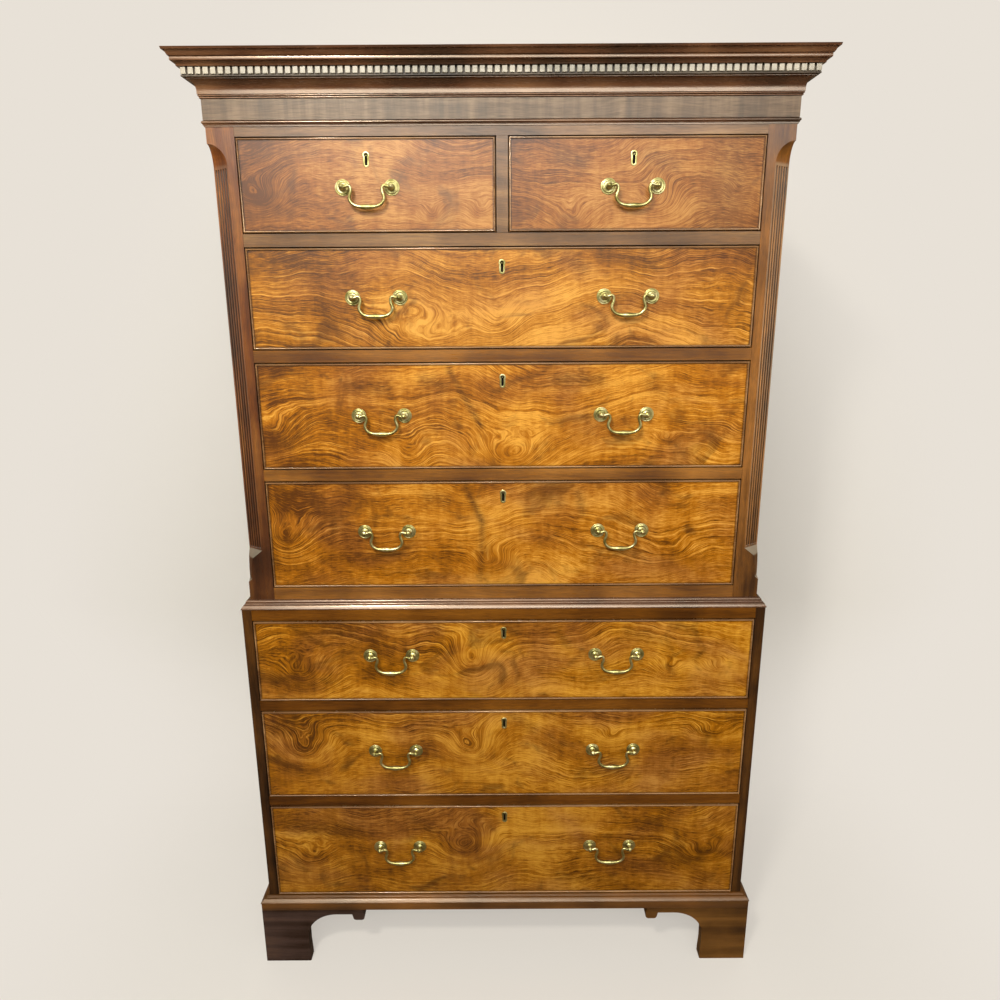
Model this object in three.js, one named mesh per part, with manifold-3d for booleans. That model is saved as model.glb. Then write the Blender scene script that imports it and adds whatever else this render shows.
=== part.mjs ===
// Mahogany chest on chest of about 1780, in two cases that part at the waist.
// Millimetres, +Z up. The drawers face -Y, +X is on the viewer's right, and the
// origin is the middle of the base of the bounding box, on the floor.
//
// The lower case stands on a moulded base frame and four bracket feet and holds
// three long drawers. The upper case has fluted canted corners, two short drawers
// over three long ones, a veneered frieze and a dentil cornice. Each drawer is a
// cock-beaded front dovetailed to a box, and hangs its brass bails on posts.
import * as THREE from "three";
import { mergeVertices } from "three/addons/utils/BufferGeometryUtils.js";
import Module from "manifold-3d";

const wasm = await Module();
wasm.setup();

// Clearances
const touchGap = 0.3; // between pieces that are glued, nailed or resting on each other
const runGap = 1.2; // round a drawer front in its opening
const boxGap = 1.5; // beside and over a drawer's box
const cutOverrun = 5; // how far a cutter runs past what it cuts

// Cases
const upperWidth = 1008;
const upperDepth = 500;
const upperSideThickness = 20;
const caseStep = 14.5; // how far the lower case stands outside the upper one
const lowerSideThickness = 18.5;
const boardThickness = 20; // tops and bottoms of both cases
const backThickness = 10;
const boardVee = 3.3; // chamfered joint between two boards of a back
const railHeight = 22.5;
const railDepth = 58;
const panelThickness = 9; // dust panels
const runnerWidth = 64;
const guideHeight = 24;

// Heights, from the floor up
const footHeight = 136;
const baseRailThickness = 9;
const lowerOpenings = [225, 203, 177]; // lowest first
const lowerTopRailHeight = 22.7;
const upperBottomRailHeight = 41.8;
const upperOpenings = [216, 201, 179, 157]; // lowest first, the last is the short pair
const upperTopRailHeight = 99;
const topRecess = 26.5; // the cornice rises this far over the upper case

// Corners of the upper case
const postWidth = 48;
const postDepth = 48;
const cantLeg = 24;
const fluteCount = 5;
const fluteRadius = 2.3;
const flutePitch = 5.7;
const fluteSides = 8;
const fluteCapSteps = 2;
const fluteInset = 2.3; // plain wood between a flute's end and the stop
const stopSteps = 5; // facets along a stop's cove
const leastCant = 1; // width of the stop where it starts
const upperStopLength = 36;
// The lower stop, upwards: a sloping ledge, a long tongue and a steep facet
const ledgeLength = 5.7;
const ledgeShare = 0.45; // of the cant's leg, at the ledge's upper edge
const tongueLength = 43;
const tongueShare = 0.64; // of the cant's leg, at the tongue's upper end
const facetLength = 16.3;
const squareTopHeight = 110; // square corner above the cant, behind the cornice and frieze
const squareFootHeight = 54; // square corner below the cant

// Small middle pieces
const dividerWidth = 20;
const dividerOffset = 1; // the divider stands this far right of the middle
const friezeThickness = 2;
const friezeHeight = 33;
const astragalHeight = 9.5;
const astragalReach = 4.8;
const topRailShown = 15.5; // top rail that shows under the astragal

// Cornice, base and waist: reach from the case's face
const corniceReach = 45.5;
const corniceLap = 14; // how far the cornice laps over the case's top
const dentilWidth = 8.2;
const dentilGap = 4.1;
const dentilHeight = 9.4;
const dentilDepth = 5.4;
const dentilPlate = 2.6; // strip that carries the teeth
const dentilFillet = 2.1; // narrow strip below the teeth
const dentilCap = 2.2; // band over the teeth
const toothSet = 0.5; // the teeth stand this far behind the band
const bedHeight = 28.5; // beads and cavetto under the dentils
const bedReach = 18.5;
const crownFoot = 28.4; // reach of the crown's lower edge, over the teeth
const waistHeight = 17.2;
const waistReach = 2.2;
const waistInset = 0.8; // gap from the waist moulding to the upper case
const baseReach = 15;
const baseMouldingHeight = 11.5;
const baseFasciaHeight = 17.5;
const baseLip = 1.8;
const baseRailWidth = 70;

// Feet
const footLength = 224;
const footSoleLength = 97.5;
const footThickness = 22;
const footRidge = 11.5; // wood left over the arch
const footArchWidth = 64;
const footArchHeight = 56;
const pendantWidth = 26;
const pendantDrop = 15;
const pendantRadius = 7;
const footBlock = 46;
const arcSteps = 4; // facets of a quarter turn in an outline
const braceInset = 60; // rear foot's diagonal brace, from the back corner

// Drawers
const frontThickness = 22;
const beadWidth = 4;
const beadReach = 2.6;
const drawerSideThickness = 10;
const drawerBackThickness = 9;
const drawerBottomThickness = 7;
const drawerBottomRaise = 6; // drawer bottom above the lower edge of the sides
const drawerSideDrop = 12; // the sides stand this far below the front's top edge
const drawerRearGap = 14; // between a closed drawer and the case's back
const drawerBackInset = 3; // the sides run on this far behind the drawer's back
const housing = 3; // how deep a board is let into the one beside it
const dovetailDepth = 15;
const dovetailCount = 3;
const dovetailFlare = 3;
const dovetailPin = 7; // narrow end of a pin between two tails
const dovetailGap = 0.35;

// Brass
const postSpacing = 85; // between the two posts of one handle
const roseRadius = 13.7;
const roseSides = 8;
const postReach = 18;
const postNeckRadius = 3.2;
const postHeadRadius = 5;
const eyeInset = 5.25; // from a post's tip to the centre of its eye
const eyeSides = 6;
const eyeRadius = 2.6; // hole in a post's head
const eyeDepth = 3.6;
const bailWireRadius = 2.1;
const bailGripRadius = 4;
const bailDrop = 33;
const bailHalfWidth = 30.8;
const bailSides = 5;
const bailSteps = 15;
const handleSpread = 226; // from the middle of a long drawer to each handle
// Height of the posts in each front, of its height, lowest row first
const lowerHandleShares = [0.542, 0.539, 0.57];
const upperHandleShares = [0.533, 0.512, 0.516, 0.478];
const leftHandleX = -233; // middle of the left short drawer's handle
const rightHandleX = 228;
// From a front's top edge to the middle of its keyhole, lowest row first
const lowerKeyholeDrops = [28.5, 29, 26.7];
const upperKeyholeDrops = [30, 33, 32.5, 34.5];
const keyholeHalfHeight = 8.8;
const escutcheonWidth = 1.8;
const escutcheonReach = 0.5;
const keyholeBowRadius = 3.4;
const keyholeSkirt = 2.4;
const keyholeDepth = 13;
const lockPinRadius = 1.1;
const lockPinSides = 8;

// Places that follow from the sizes
const bodyDepth = upperDepth + corniceReach;
const backY = bodyDepth / 2;
const upperFrontY = backY - upperDepth;
const lowerFrontY = upperFrontY - caseStep;
const upperHalf = upperWidth / 2;
const lowerHalf = upperHalf + caseStep;
const upperInner = upperHalf - upperSideThickness;
const lowerInner = lowerHalf - lowerSideThickness;
const upperOpeningHalf = upperHalf - postWidth;

const sum = (values) => values.reduce((total, value) => total + value, 0);

// Floors and ceilings of a stack of openings with rails between them, each with the
// places of its drawer's handles and keyhole.
function stackOpenings(floor, openings, handleShares, keyholeDrops) {
  const rows = [];
  let z = floor;
  openings.forEach((height, i) => {
    const places = { handleShare: handleShares[i], keyholeDrop: keyholeDrops[i] };
    rows.push({ low: z, high: z + height, ...places });
    z += height + railHeight;
  });
  return rows;
}

const lowerCaseZ = footHeight + baseRailThickness + touchGap;
const lowerFloor = lowerCaseZ + boardThickness;
const lowerRows = stackOpenings(lowerFloor, lowerOpenings, lowerHandleShares, lowerKeyholeDrops);
const lowerTopZ =
  lowerFloor + sum(lowerOpenings) + railHeight * (lowerOpenings.length - 1) + lowerTopRailHeight;
const upperCaseZ = lowerTopZ + touchGap;
const upperFloor = upperCaseZ + upperBottomRailHeight;
const upperRows = stackOpenings(upperFloor, upperOpenings, upperHandleShares, upperKeyholeDrops);
const shortRow = upperRows[upperRows.length - 1];
const upperTopZ = shortRow.high + upperTopRailHeight;
const overallZ = upperTopZ + topRecess;

// Materials
const mahogany = { color: 0x6a3b1e, roughness: 0.45, metalness: 0 };
const darkMahogany = { color: 0x3f2718, roughness: 0.5, metalness: 0 };
const figuredMahogany = { color: 0xa86f38, roughness: 0.35, metalness: 0 };
const oak = { color: 0xb08a5a, roughness: 0.7, metalness: 0 };
const pine = { color: 0xa07c50, roughness: 0.8, metalness: 0 };
const brass = { color: 0xb39a55, roughness: 0.35, metalness: 1 };

// A closed solid from any closed geometry.
function solid(geometry) {
  const bare = geometry.clone();
  for (const name of ["normal", "uv"]) {
    if (bare.getAttribute(name)) bare.deleteAttribute(name);
  }
  const merged = mergeVertices(bare, 1e-4);
  return new wasm.Manifold(
    new wasm.Mesh({
      numProp: 3,
      vertProperties: new Float32Array(merged.attributes.position.array),
      triVerts: new Uint32Array(merged.index.array),
    }),
  );
}

// The geometry of a solid.
function geometryOf(body) {
  const mesh = body.getMesh();
  const points = new Float32Array(mesh.numVert * 3);
  for (let i = 0; i < mesh.numVert; i++) {
    points.set(mesh.vertProperties.subarray(i * mesh.numProp, i * mesh.numProp + 3), i * 3);
  }
  const geometry = new THREE.BufferGeometry();
  geometry.setAttribute("position", new THREE.BufferAttribute(points, 3));
  geometry.setIndex(new THREE.BufferAttribute(new Uint32Array(mesh.triVerts), 1));
  geometry.computeVertexNormals();
  return geometry;
}

const join = (pieces) => pieces.map(solid).reduce((whole, piece) => whole.add(piece));
const cut = (body, cutters) => cutters.map(solid).reduce((left, tool) => left.subtract(tool), body);

// A squared board between two corners.
function board(x0, x1, y0, y1, z0, z1) {
  const geometry = new THREE.BoxGeometry(x1 - x0, y1 - y0, z1 - z0);
  return geometry.translate((x0 + x1) / 2, (y0 + y1) / 2, (z0 + z1) / 2);
}

// A shape from a list of points.
const shapeOf = (outline) => new THREE.Shape(outline.map(([a, b]) => new THREE.Vector2(a, b)));

// An outline of (x, z) points carried along Y.
function alongY(shape, y0, y1) {
  const geometry = new THREE.ExtrudeGeometry(shape, {
    depth: y1 - y0,
    bevelEnabled: false,
    curveSegments: arcSteps,
  });
  geometry.rotateX(Math.PI / 2);
  return geometry.translate(0, y1, 0);
}

// An outline of (y, z) points carried along X.
function alongX(shape, x0, x1) {
  const geometry = new THREE.ExtrudeGeometry(shape, {
    depth: x1 - x0,
    bevelEnabled: false,
    curveSegments: arcSteps,
  });
  geometry.rotateX(Math.PI / 2);
  geometry.rotateZ(Math.PI / 2);
  return geometry.translate(x0, 0, 0);
}

// A closed skin over rings of equal length, with a flat cap on each end.
function skin(rings, capOutline) {
  const count = rings[0].length;
  const points = rings.flat().flatMap((p) => [p.x, p.y, p.z]);
  const faces = [];
  for (let r = 0; r + 1 < rings.length; r++) {
    for (let i = 0; i < count; i++) {
      const a = r * count + i;
      const b = r * count + ((i + 1) % count);
      faces.push(a, b, b + count, a, b + count, a + count);
    }
  }
  const last = (rings.length - 1) * count;
  for (const [a, b, c] of THREE.ShapeUtils.triangulateShape(capOutline, [])) {
    faces.push(c, b, a, last + a, last + b, last + c);
  }
  const geometry = new THREE.BufferGeometry();
  geometry.setAttribute("position", new THREE.BufferAttribute(new Float32Array(points), 3));
  geometry.setIndex(faces);
  return geometry;
}

// A moulding carried round the front and both sides of a case, mitred at the
// corners. Its profile holds (reach from the case's face, height) points that run
// anticlockwise, with reach to the right.
function mouldingRound(profile, half, frontY) {
  const corners = [
    { x: half, y: backY, dx: 1, dy: 0 },
    { x: half, y: frontY, dx: 1, dy: -1 },
    { x: -half, y: frontY, dx: -1, dy: -1 },
    { x: -half, y: backY, dx: -1, dy: 0 },
  ];
  const outline = profile.map(([reach, z]) => new THREE.Vector2(reach, z));
  const rings = corners.map((corner) =>
    outline.map(
      (p) => new THREE.Vector3(corner.x + corner.dx * p.x, corner.y + corner.dy * p.x, p.y),
    ),
  );
  return skin(rings, outline);
}

const chest = new THREE.Group();
const lowerCase = new THREE.Group();
const upperCase = new THREE.Group();
chest.add(lowerCase, upperCase);

function place(group, name, shape, finish) {
  const geometry = shape.isBufferGeometry ? shape : geometryOf(shape);
  const mesh = new THREE.Mesh(geometry, new THREE.MeshStandardMaterial(finish));
  mesh.name = name;
  group.add(mesh);
  return mesh;
}

// A case side: one wide board. Where the openings are narrower than the case, the
// strips that guide the drawers are glued inside it.
function caseSide(side, inner, outer, guideInner, y0, z0, z1, rows) {
  const across = (near, far) => [Math.min(side * near, side * far), Math.max(side * near, side * far)];
  const pieces = [board(...across(inner, outer), y0, backY, z0, z1)];
  if (guideInner < inner) {
    const rearY = backY - backThickness - touchGap;
    for (const row of rows) {
      const low = row.low + touchGap;
      pieces.push(board(...across(guideInner, outer), y0, rearY, low, low + guideHeight));
    }
  }
  return join(pieces);
}

// A rail with its runners and thin dust panel behind it, housed between the sides.
function dustboard(half, inner, frontY, floorZ, postBackY, middleRunner) {
  const rearY = backY - backThickness - touchGap;
  const wide = inner - touchGap;
  const top = floorZ + railHeight - touchGap;
  const low = floorZ + touchGap;
  const pieces = [
    board(-half + touchGap, half - touchGap, frontY, frontY + railDepth, low, top),
    board(-wide, wide, postBackY, frontY + railDepth, low, top),
    board(-wide, -wide + runnerWidth, postBackY, rearY, low, top),
    board(wide - runnerWidth, wide, postBackY, rearY, low, top),
    board(-wide, wide, rearY - runnerWidth, rearY, low, top),
    board(-wide, wide, postBackY, rearY, low, low + panelThickness),
  ];
  if (middleRunner) {
    pieces.push(board(-runnerWidth / 2, runnerWidth / 2, postBackY, rearY, low, top));
  }
  return join(pieces);
}

// The back: wide boards nailed up edge to edge, with a V where they meet.
function boardedBack(inner, z0, z1, boards) {
  const y0 = backY - backThickness;
  const outline = [[y0, z0], [backY, z0]];
  for (let i = 1; i < boards; i++) {
    const z = z0 + ((z1 - z0) * i) / boards;
    outline.push([backY, z - boardVee / 2], [backY - boardVee, z], [backY, z + boardVee / 2]);
  }
  outline.push([backY, z1], [y0, z1]);
  return alongX(shapeOf(outline), -inner + touchGap, inner - touchGap);
}

// Lower case
function buildLowerCase() {
  for (const [name, side] of [["lower_left_side", -1], ["lower_right_side", 1]]) {
    const shape = caseSide(
      side, lowerInner, lowerHalf, lowerInner, lowerFrontY, lowerCaseZ, lowerTopZ, lowerRows,
    );
    place(lowerCase, name, shape, mahogany);
  }
  const wide = lowerInner - touchGap;
  const rearY = backY - backThickness - touchGap;
  const topRailZ = lowerTopZ - lowerTopRailHeight;
  const behindRail = lowerFrontY + railDepth + touchGap;
  place(
    lowerCase,
    "lower_top_board",
    board(-wide, wide, behindRail, rearY, lowerTopZ - boardThickness, lowerTopZ),
    pine,
  );
  place(
    lowerCase,
    "lower_bottom_board",
    board(-wide, wide, lowerFrontY, rearY, lowerCaseZ, lowerCaseZ + boardThickness - touchGap),
    pine,
  );
  place(
    lowerCase,
    "lower_back",
    boardedBack(lowerInner, lowerCaseZ, lowerTopZ, 3),
    pine,
  );
  place(
    lowerCase,
    "lower_top_rail",
    board(-wide, wide, lowerFrontY, lowerFrontY + railDepth, topRailZ, lowerTopZ),
    mahogany,
  );
  lowerRows.slice(0, -1).forEach((row, i) => {
    const rail = dustboard(lowerInner, lowerInner, lowerFrontY, row.high, lowerFrontY, false);
    place(lowerCase, `lower_dustboard_${i + 1}`, rail, mahogany);
  });
  place(lowerCase, "waist_moulding", waistMoulding(), mahogany);
  place(lowerCase, "base_moulding", baseMoulding(), mahogany);
}

// Points of a moulding's outline, given as shares of a member's reach and height.
const member = (shares, x0, x1, z0, z1) =>
  shares.map(([across, up]) => [x0 + (x1 - x0) * across, z0 + (z1 - z0) * up]);

// The waist moulding lies on the lower case's top edge and closes round the foot of
// the upper case: a fillet, a cove and a bead, lowest first.
const waistShares = [
  [0.94, 0], [1, 0.07], [1, 0.22], [0.93, 0.28], [0.7, 0.33], [0.52, 0.44], [0.42, 0.6],
  [0.3, 0.62], [0.31, 0.7], [0.38, 0.78], [0.34, 0.92], [0.2, 1],
];

function waistMoulding() {
  const low = lowerTopZ + touchGap;
  const top = low + waistHeight;
  const inner = waistInset - caseStep;
  const profile = [[inner, low], ...member(waistShares, inner, waistReach, low, top), [inner, top]];
  return mouldingRound(profile, lowerHalf, lowerFrontY);
}

// The base frame: a flat rail under the case, a plain fascia and an ogee planted
// against the case's foot.
const baseShares = [
  [1, 0], [1, 0.16], [0.92, 0.3], [0.8, 0.4], [0.66, 0.46], [0.62, 0.56], [0.46, 0.6],
  [0.34, 0.68], [0.26, 0.82], [0.16, 0.84], [0.16, 0.96], [0.05, 1],
];

function baseMoulding() {
  const fasciaTop = footHeight + baseFasciaHeight;
  const top = fasciaTop + baseMouldingHeight;
  const railTop = footHeight + baseRailThickness;
  const profile = [
    [-baseRailWidth, footHeight],
    [baseReach, footHeight],
    [baseReach, fasciaTop],
    ...member(baseShares, touchGap, baseReach + baseLip, fasciaTop, top),
    [touchGap, top],
    [touchGap, railTop],
    [-baseRailWidth, railTop],
  ];
  return mouldingRound(profile, lowerHalf, lowerFrontY);
}

const quarterShare = 0.45; // control points of a quarter turn, back from its corner

// Bracket outline, from the corner of the case inwards: the sole, the inner edge,
// the arch, the flat ridge and the round pendant that ends it. Points are
// (distance from the outer corner, height).
function bracketShape(turn) {
  const arch = footHeight - touchGap - footRidge;
  const top = footHeight - touchGap;
  const pendantIn = footLength - pendantWidth;
  const pendantLow = arch - pendantDrop;
  const shape = new THREE.Shape();
  const x = (along) => turn * along;
  shape.moveTo(x(0), 0);
  shape.lineTo(x(footSoleLength), 0);
  shape.lineTo(x(footSoleLength), arch - footArchHeight);
  shape.bezierCurveTo(
    x(footSoleLength), arch - footArchHeight * quarterShare,
    x(footSoleLength + footArchWidth * quarterShare), arch,
    x(footSoleLength + footArchWidth), arch,
  );
  shape.lineTo(x(pendantIn), arch);
  shape.lineTo(x(pendantIn), pendantLow + pendantRadius);
  shape.quadraticCurveTo(x(pendantIn), pendantLow, x(pendantIn + pendantRadius), pendantLow);
  shape.lineTo(x(footLength - pendantRadius), pendantLow);
  shape.quadraticCurveTo(x(footLength), pendantLow, x(footLength), pendantLow + pendantRadius);
  shape.lineTo(x(footLength), arch);
  shape.lineTo(x(footLength - pendantRadius / 2), top);
  shape.lineTo(x(0), top);
  return shape;
}

// A foot: a bracket along the side, a second one along the front or a sloping
// brace at the rear, and the block in the corner that carries the weight.
function foot(side, front) {
  const outer = lowerHalf + baseReach;
  const frontY = lowerFrontY - baseReach;
  const top = footHeight - touchGap;
  const cornerX = side * outer;
  const cornerY = front ? frontY : backY;
  const inward = front ? 1 : -1;
  const sideBracket = alongX(bracketShape(inward), 0, footThickness);
  sideBracket.translate(side > 0 ? outer - footThickness : -outer, cornerY, 0);
  const pieces = [sideBracket];
  if (front) {
    const frontBracket = alongY(bracketShape(-side), 0, footThickness);
    frontBracket.translate(cornerX, frontY, 0);
    pieces.push(frontBracket);
  } else {
    const brace = new THREE.Shape();
    brace.moveTo(0, top);
    brace.lineTo(-side * footSoleLength, top);
    brace.lineTo(-side * footSoleLength, top - footBlock);
    brace.lineTo(-side * footBlock, 0);
    brace.lineTo(0, 0);
    const y0 = backY - braceInset;
    pieces.push(alongY(brace, y0, y0 + footThickness).translate(cornerX, 0, 0));
  }
  const blockX = cornerX - side * (footThickness + footBlock);
  const blockNear = front ? cornerY : backY - footThickness - footBlock;
  const blockFar = blockNear + footThickness + footBlock;
  pieces.push(board(Math.min(cornerX, blockX), Math.max(cornerX, blockX), blockNear, blockFar, 0, top));
  return join(pieces);
}

function buildFeet() {
  place(lowerCase, "front_left_foot", foot(-1, true), darkMahogany);
  place(lowerCase, "front_right_foot", foot(1, true), darkMahogany);
  place(lowerCase, "rear_left_foot", foot(-1, false), darkMahogany);
  place(lowerCase, "rear_right_foot", foot(1, false), darkMahogany);
}

// Share of the full cant along the upper stop, a cove that opens out from the square
// corner (0) to the flutes (1).
function coveShareAt(distance) {
  return Math.sqrt(1 - (1 - Math.min(1, distance / upperStopLength)) ** 2);
}

// The triangle of wood that the cant and its two stops take off the corner, as a
// skin over level sections, and the flutes with their round ends.
function cantCutters(side) {
  const cornerX = side * upperHalf;
  const low = upperCaseZ + squareFootHeight;
  const high = upperTopZ - squareTopHeight;
  const tongueTop = low + ledgeLength + tongueLength;
  const fluteLow = tongueTop + facetLength;
  const levels = [
    [low, leastCant / cantLeg],
    [low + ledgeLength, ledgeShare],
    [tongueTop, tongueShare],
    [fluteLow, 1],
  ];
  for (let i = stopSteps; i >= 0; i--) {
    const distance = (upperStopLength * i ** 2) / stopSteps ** 2;
    levels.push([high - distance, Math.max(coveShareAt(distance), leastCant / cantLeg)]);
  }
  const rings = levels.map(([z, share]) => {
    const leg = cantLeg * share;
    const corner = [
      [cutOverrun, -cutOverrun],
      [cutOverrun, leg + cutOverrun],
      [-leg - cutOverrun, -cutOverrun],
    ];
    return corner.map(([out, back]) =>
      new THREE.Vector3(cornerX + side * out, upperFrontY + back, z),
    );
  });
  if (side < 0) rings.forEach((ring) => ring.reverse());
  const cap = rings[0].map((p) => new THREE.Vector2(p.x, p.y));
  const cutters = [skin(rings, cap)];
  const faceX = cornerX - (side * cantLeg) / 2;
  const faceY = upperFrontY + cantLeg / 2;
  const fluteHigh = high - upperStopLength;
  for (let i = 0; i < fluteCount; i++) {
    const across = (i - (fluteCount - 1) / 2) * flutePitch * Math.SQRT1_2;
    const straight = fluteHigh - fluteLow - 2 * (fluteRadius + fluteInset);
    const flute = new THREE.CapsuleGeometry(fluteRadius, straight, fluteCapSteps, fluteSides);
    flute.rotateX(Math.PI / 2);
    flute.translate(faceX + side * across, faceY + across, (fluteLow + fluteHigh) / 2);
    cutters.push(flute);
  }
  return cutters;
}

// A corner post: square at both ends, canted and fluted between its two stops.
function cornerPost(side) {
  const x0 = side * (upperHalf - postWidth);
  const x1 = side * upperHalf;
  const post = board(
    Math.min(x0, x1), Math.max(x0, x1), upperFrontY, upperFrontY + postDepth, upperCaseZ, upperTopZ,
  );
  return cut(solid(post), cantCutters(side));
}

// Upper case
function buildUpperCase() {
  const half = upperOpeningHalf - touchGap;
  const wide = upperInner - touchGap;
  const rearY = backY - backThickness - touchGap;
  const behindPost = upperFrontY + postDepth + touchGap;
  const floor = upperRows[0].low;
  for (const [name, side] of [["upper_left_side", -1], ["upper_right_side", 1]]) {
    const shape = caseSide(
      side, upperInner, upperHalf, upperOpeningHalf, behindPost, upperCaseZ, upperTopZ, upperRows,
    );
    place(upperCase, name, shape, mahogany);
  }
  place(upperCase, "left_corner_post", cornerPost(-1), mahogany);
  place(upperCase, "right_corner_post", cornerPost(1), mahogany);
  place(
    upperCase,
    "upper_top_board",
    board(-wide, wide, behindPost, rearY, upperTopZ - boardThickness, upperTopZ),
    pine,
  );
  const bottom = join([
    board(-half, half, upperFrontY, upperFrontY + railDepth, upperCaseZ, floor - touchGap),
    board(-wide, wide, behindPost, rearY, floor - boardThickness, floor - touchGap),
  ]);
  place(upperCase, "upper_bottom_board", bottom, mahogany);
  place(upperCase, "upper_back", boardedBack(upperInner, upperCaseZ, upperTopZ, 4), pine);
  place(
    upperCase,
    "upper_top_rail",
    board(-half, half, upperFrontY, upperFrontY + frontThickness, shortRow.high, upperTopZ),
    mahogany,
  );
  place(
    upperCase,
    "small_drawer_divider",
    board(
      dividerOffset - dividerWidth / 2, dividerOffset + dividerWidth / 2,
      upperFrontY, rearY, shortRow.low + touchGap, shortRow.high - touchGap,
    ),
    mahogany,
  );
  upperRows.slice(0, -1).forEach((row, i) => {
    const underPair = i === upperRows.length - 2;
    const rail = dustboard(
      upperOpeningHalf, upperInner, upperFrontY, row.high, behindPost, underPair,
    );
    place(upperCase, `upper_dustboard_${i + 1}`, rail, mahogany);
  });
  buildCornice();
}

// Members of the upper mouldings, lowest first, as shares of reach and height.
const astragalShares = [
  [0.35, 0], [0.35, 0.2], [0.62, 0.24], [0.62, 0.4], [0.9, 0.47], [1, 0.67], [0.9, 0.88], [0.55, 0.96],
];
const bedShares = [
  [0.07, 0], [0.12, 0.04], [0.08, 0.09], [0.15, 0.11], [0.21, 0.16], [0.17, 0.2], [0.22, 0.23],
  [0.24, 0.36], [0.26, 0.5], [0.34, 0.68], [0.5, 0.83], [0.74, 0.92], [1, 0.95], [1, 1],
];
const crownShares = [
  [0, 0], [0.04, 0.12], [0.15, 0.22], [0.34, 0.28], [0.36, 0.36], [0.41, 0.42], [0.39, 0.5],
  [0.45, 0.52], [0.55, 0.56], [0.66, 0.66], [0.74, 0.76], [0.84, 0.83], [1, 0.85], [1, 1],
];

// Frieze, astragal, cornice and its dentils.
function buildCornice() {
  const astragalLow = shortRow.high + topRailShown;
  const friezeLow = astragalLow + astragalHeight;
  const face = touchGap;
  const friezeFace = face + friezeThickness;
  const facing = [
    [face, friezeLow + touchGap],
    [friezeFace, friezeLow + touchGap],
    [friezeFace, friezeLow + friezeHeight],
    [face, friezeLow + friezeHeight],
  ];
  place(upperCase, "frieze", mouldingRound(facing, upperHalf, upperFrontY), mahogany);

  const bead = [
    [face, astragalLow],
    ...member(astragalShares, face, astragalReach, astragalLow, friezeLow),
    [face, friezeLow],
  ];
  place(upperCase, "astragal", mouldingRound(bead, upperHalf, upperFrontY), mahogany);

  const low = friezeLow + friezeHeight + touchGap;
  const bedTop = low + bedHeight;
  const bandHeight = dentilFillet + dentilHeight + dentilCap;
  const crownLow = bedTop + bandHeight + touchGap * 2;
  const profile = [
    [face, low],
    ...member(bedShares, friezeFace, bedReach, low, bedTop),
    [bedReach, crownLow],
    ...member(crownShares, crownFoot, corniceReach, crownLow, overallZ),
    [-corniceLap, overallZ],
    [-corniceLap, upperTopZ + touchGap],
    [face, upperTopZ + touchGap],
  ];
  place(upperCase, "cornice", mouldingRound(profile, upperHalf, upperFrontY), mahogany);
  place(upperCase, "dentil_band", dentilBand(bedReach + touchGap, bedTop + touchGap), mahogany);
}

// The dentil band: a strip round the cornice with a row of teeth standing out of
// it, and a fillet along its lower edge.
function dentilBand(back, low) {
  const pitch = dentilWidth + dentilGap;
  const plate = back + dentilPlate;
  const tip = plate + dentilDepth;
  const toothLow = low + dentilFillet;
  const toothHigh = toothLow + dentilHeight;
  const high = toothHigh + dentilCap;
  const strip = [
    [back, low],
    [plate + dentilDepth / 2, low],
    [plate + dentilDepth / 2, toothLow],
    [plate, toothLow + touchGap],
    [plate, toothHigh],
    [tip, toothHigh + touchGap],
    [tip, high],
    [back, high],
  ];
  const teeth = [mouldingRound(strip, upperHalf, upperFrontY)];
  const tooth = () =>
    shapeOf([
      [-dentilWidth / 2, toothLow + touchGap],
      [dentilWidth / 2, toothLow + touchGap],
      [dentilWidth / 2, toothHigh + dentilCap / 2],
      [-dentilWidth / 2, toothHigh + dentilCap / 2],
    ]);
  const frontLength = 2 * (upperHalf + tip - toothSet) - dentilWidth;
  const frontGaps = Math.round(frontLength / pitch);
  const frontPitch = frontLength / frontGaps;
  for (let i = 0; i <= frontGaps; i++) {
    const x = -frontLength / 2 + i * frontPitch;
    const y = upperFrontY - tip + toothSet;
    teeth.push(alongY(tooth(), y, upperFrontY - back - touchGap).translate(x, 0, 0));
  }
  const sideFrom = upperFrontY - tip + dentilWidth / 2 + pitch;
  const sideGaps = Math.floor((backY - dentilWidth - sideFrom) / pitch);
  for (const side of [-1, 1]) {
    for (let i = 0; i <= sideGaps; i++) {
      const inner = upperHalf + back + touchGap;
      const outer = upperHalf + tip - toothSet;
      const shape = alongX(tooth(), 0, outer - inner);
      shape.translate(side > 0 ? inner : -outer, sideFrom + i * pitch, 0);
      teeth.push(shape);
    }
  }
  return join(teeth);
}

// A drawer front: a thick board with a small round bead let in all round its edge.
const beadShares = [[0, 0.5], [0.25, 1], [0.75, 1], [1, 0]];

function frontBoard(x0, x1, z0, z1, faceY) {
  const bead = [[0, frontThickness], ...member(beadShares, 0, beadWidth, 0, -beadReach)];
  const rings = bead.map(([inset, back]) =>
    [
      [x0 + inset, z0 + inset],
      [x1 - inset, z0 + inset],
      [x1 - inset, z1 - inset],
      [x0 + inset, z1 - inset],
    ].map(([x, z]) => new THREE.Vector3(x, faceY + back, z)),
  );
  return skin(rings, rings[0].map((p) => new THREE.Vector2(p.x, p.z)));
}

// A keyhole outline: a round bow over a straight skirt.
function keyholeShape(grow) {
  const bow = keyholeBowRadius + grow;
  const skirt = keyholeSkirt + grow;
  const bowZ = keyholeHalfHeight - keyholeBowRadius;
  const reach = Math.asin(skirt / bow);
  const shape = new THREE.Shape();
  shape.absarc(0, bowZ, bow, -Math.PI / 2 + reach, (Math.PI * 3) / 2 - reach, false);
  shape.lineTo(-skirt, -keyholeHalfHeight);
  shape.absarc(0, -keyholeHalfHeight, skirt, Math.PI, Math.PI * 2, false);
  return shape;
}

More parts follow.
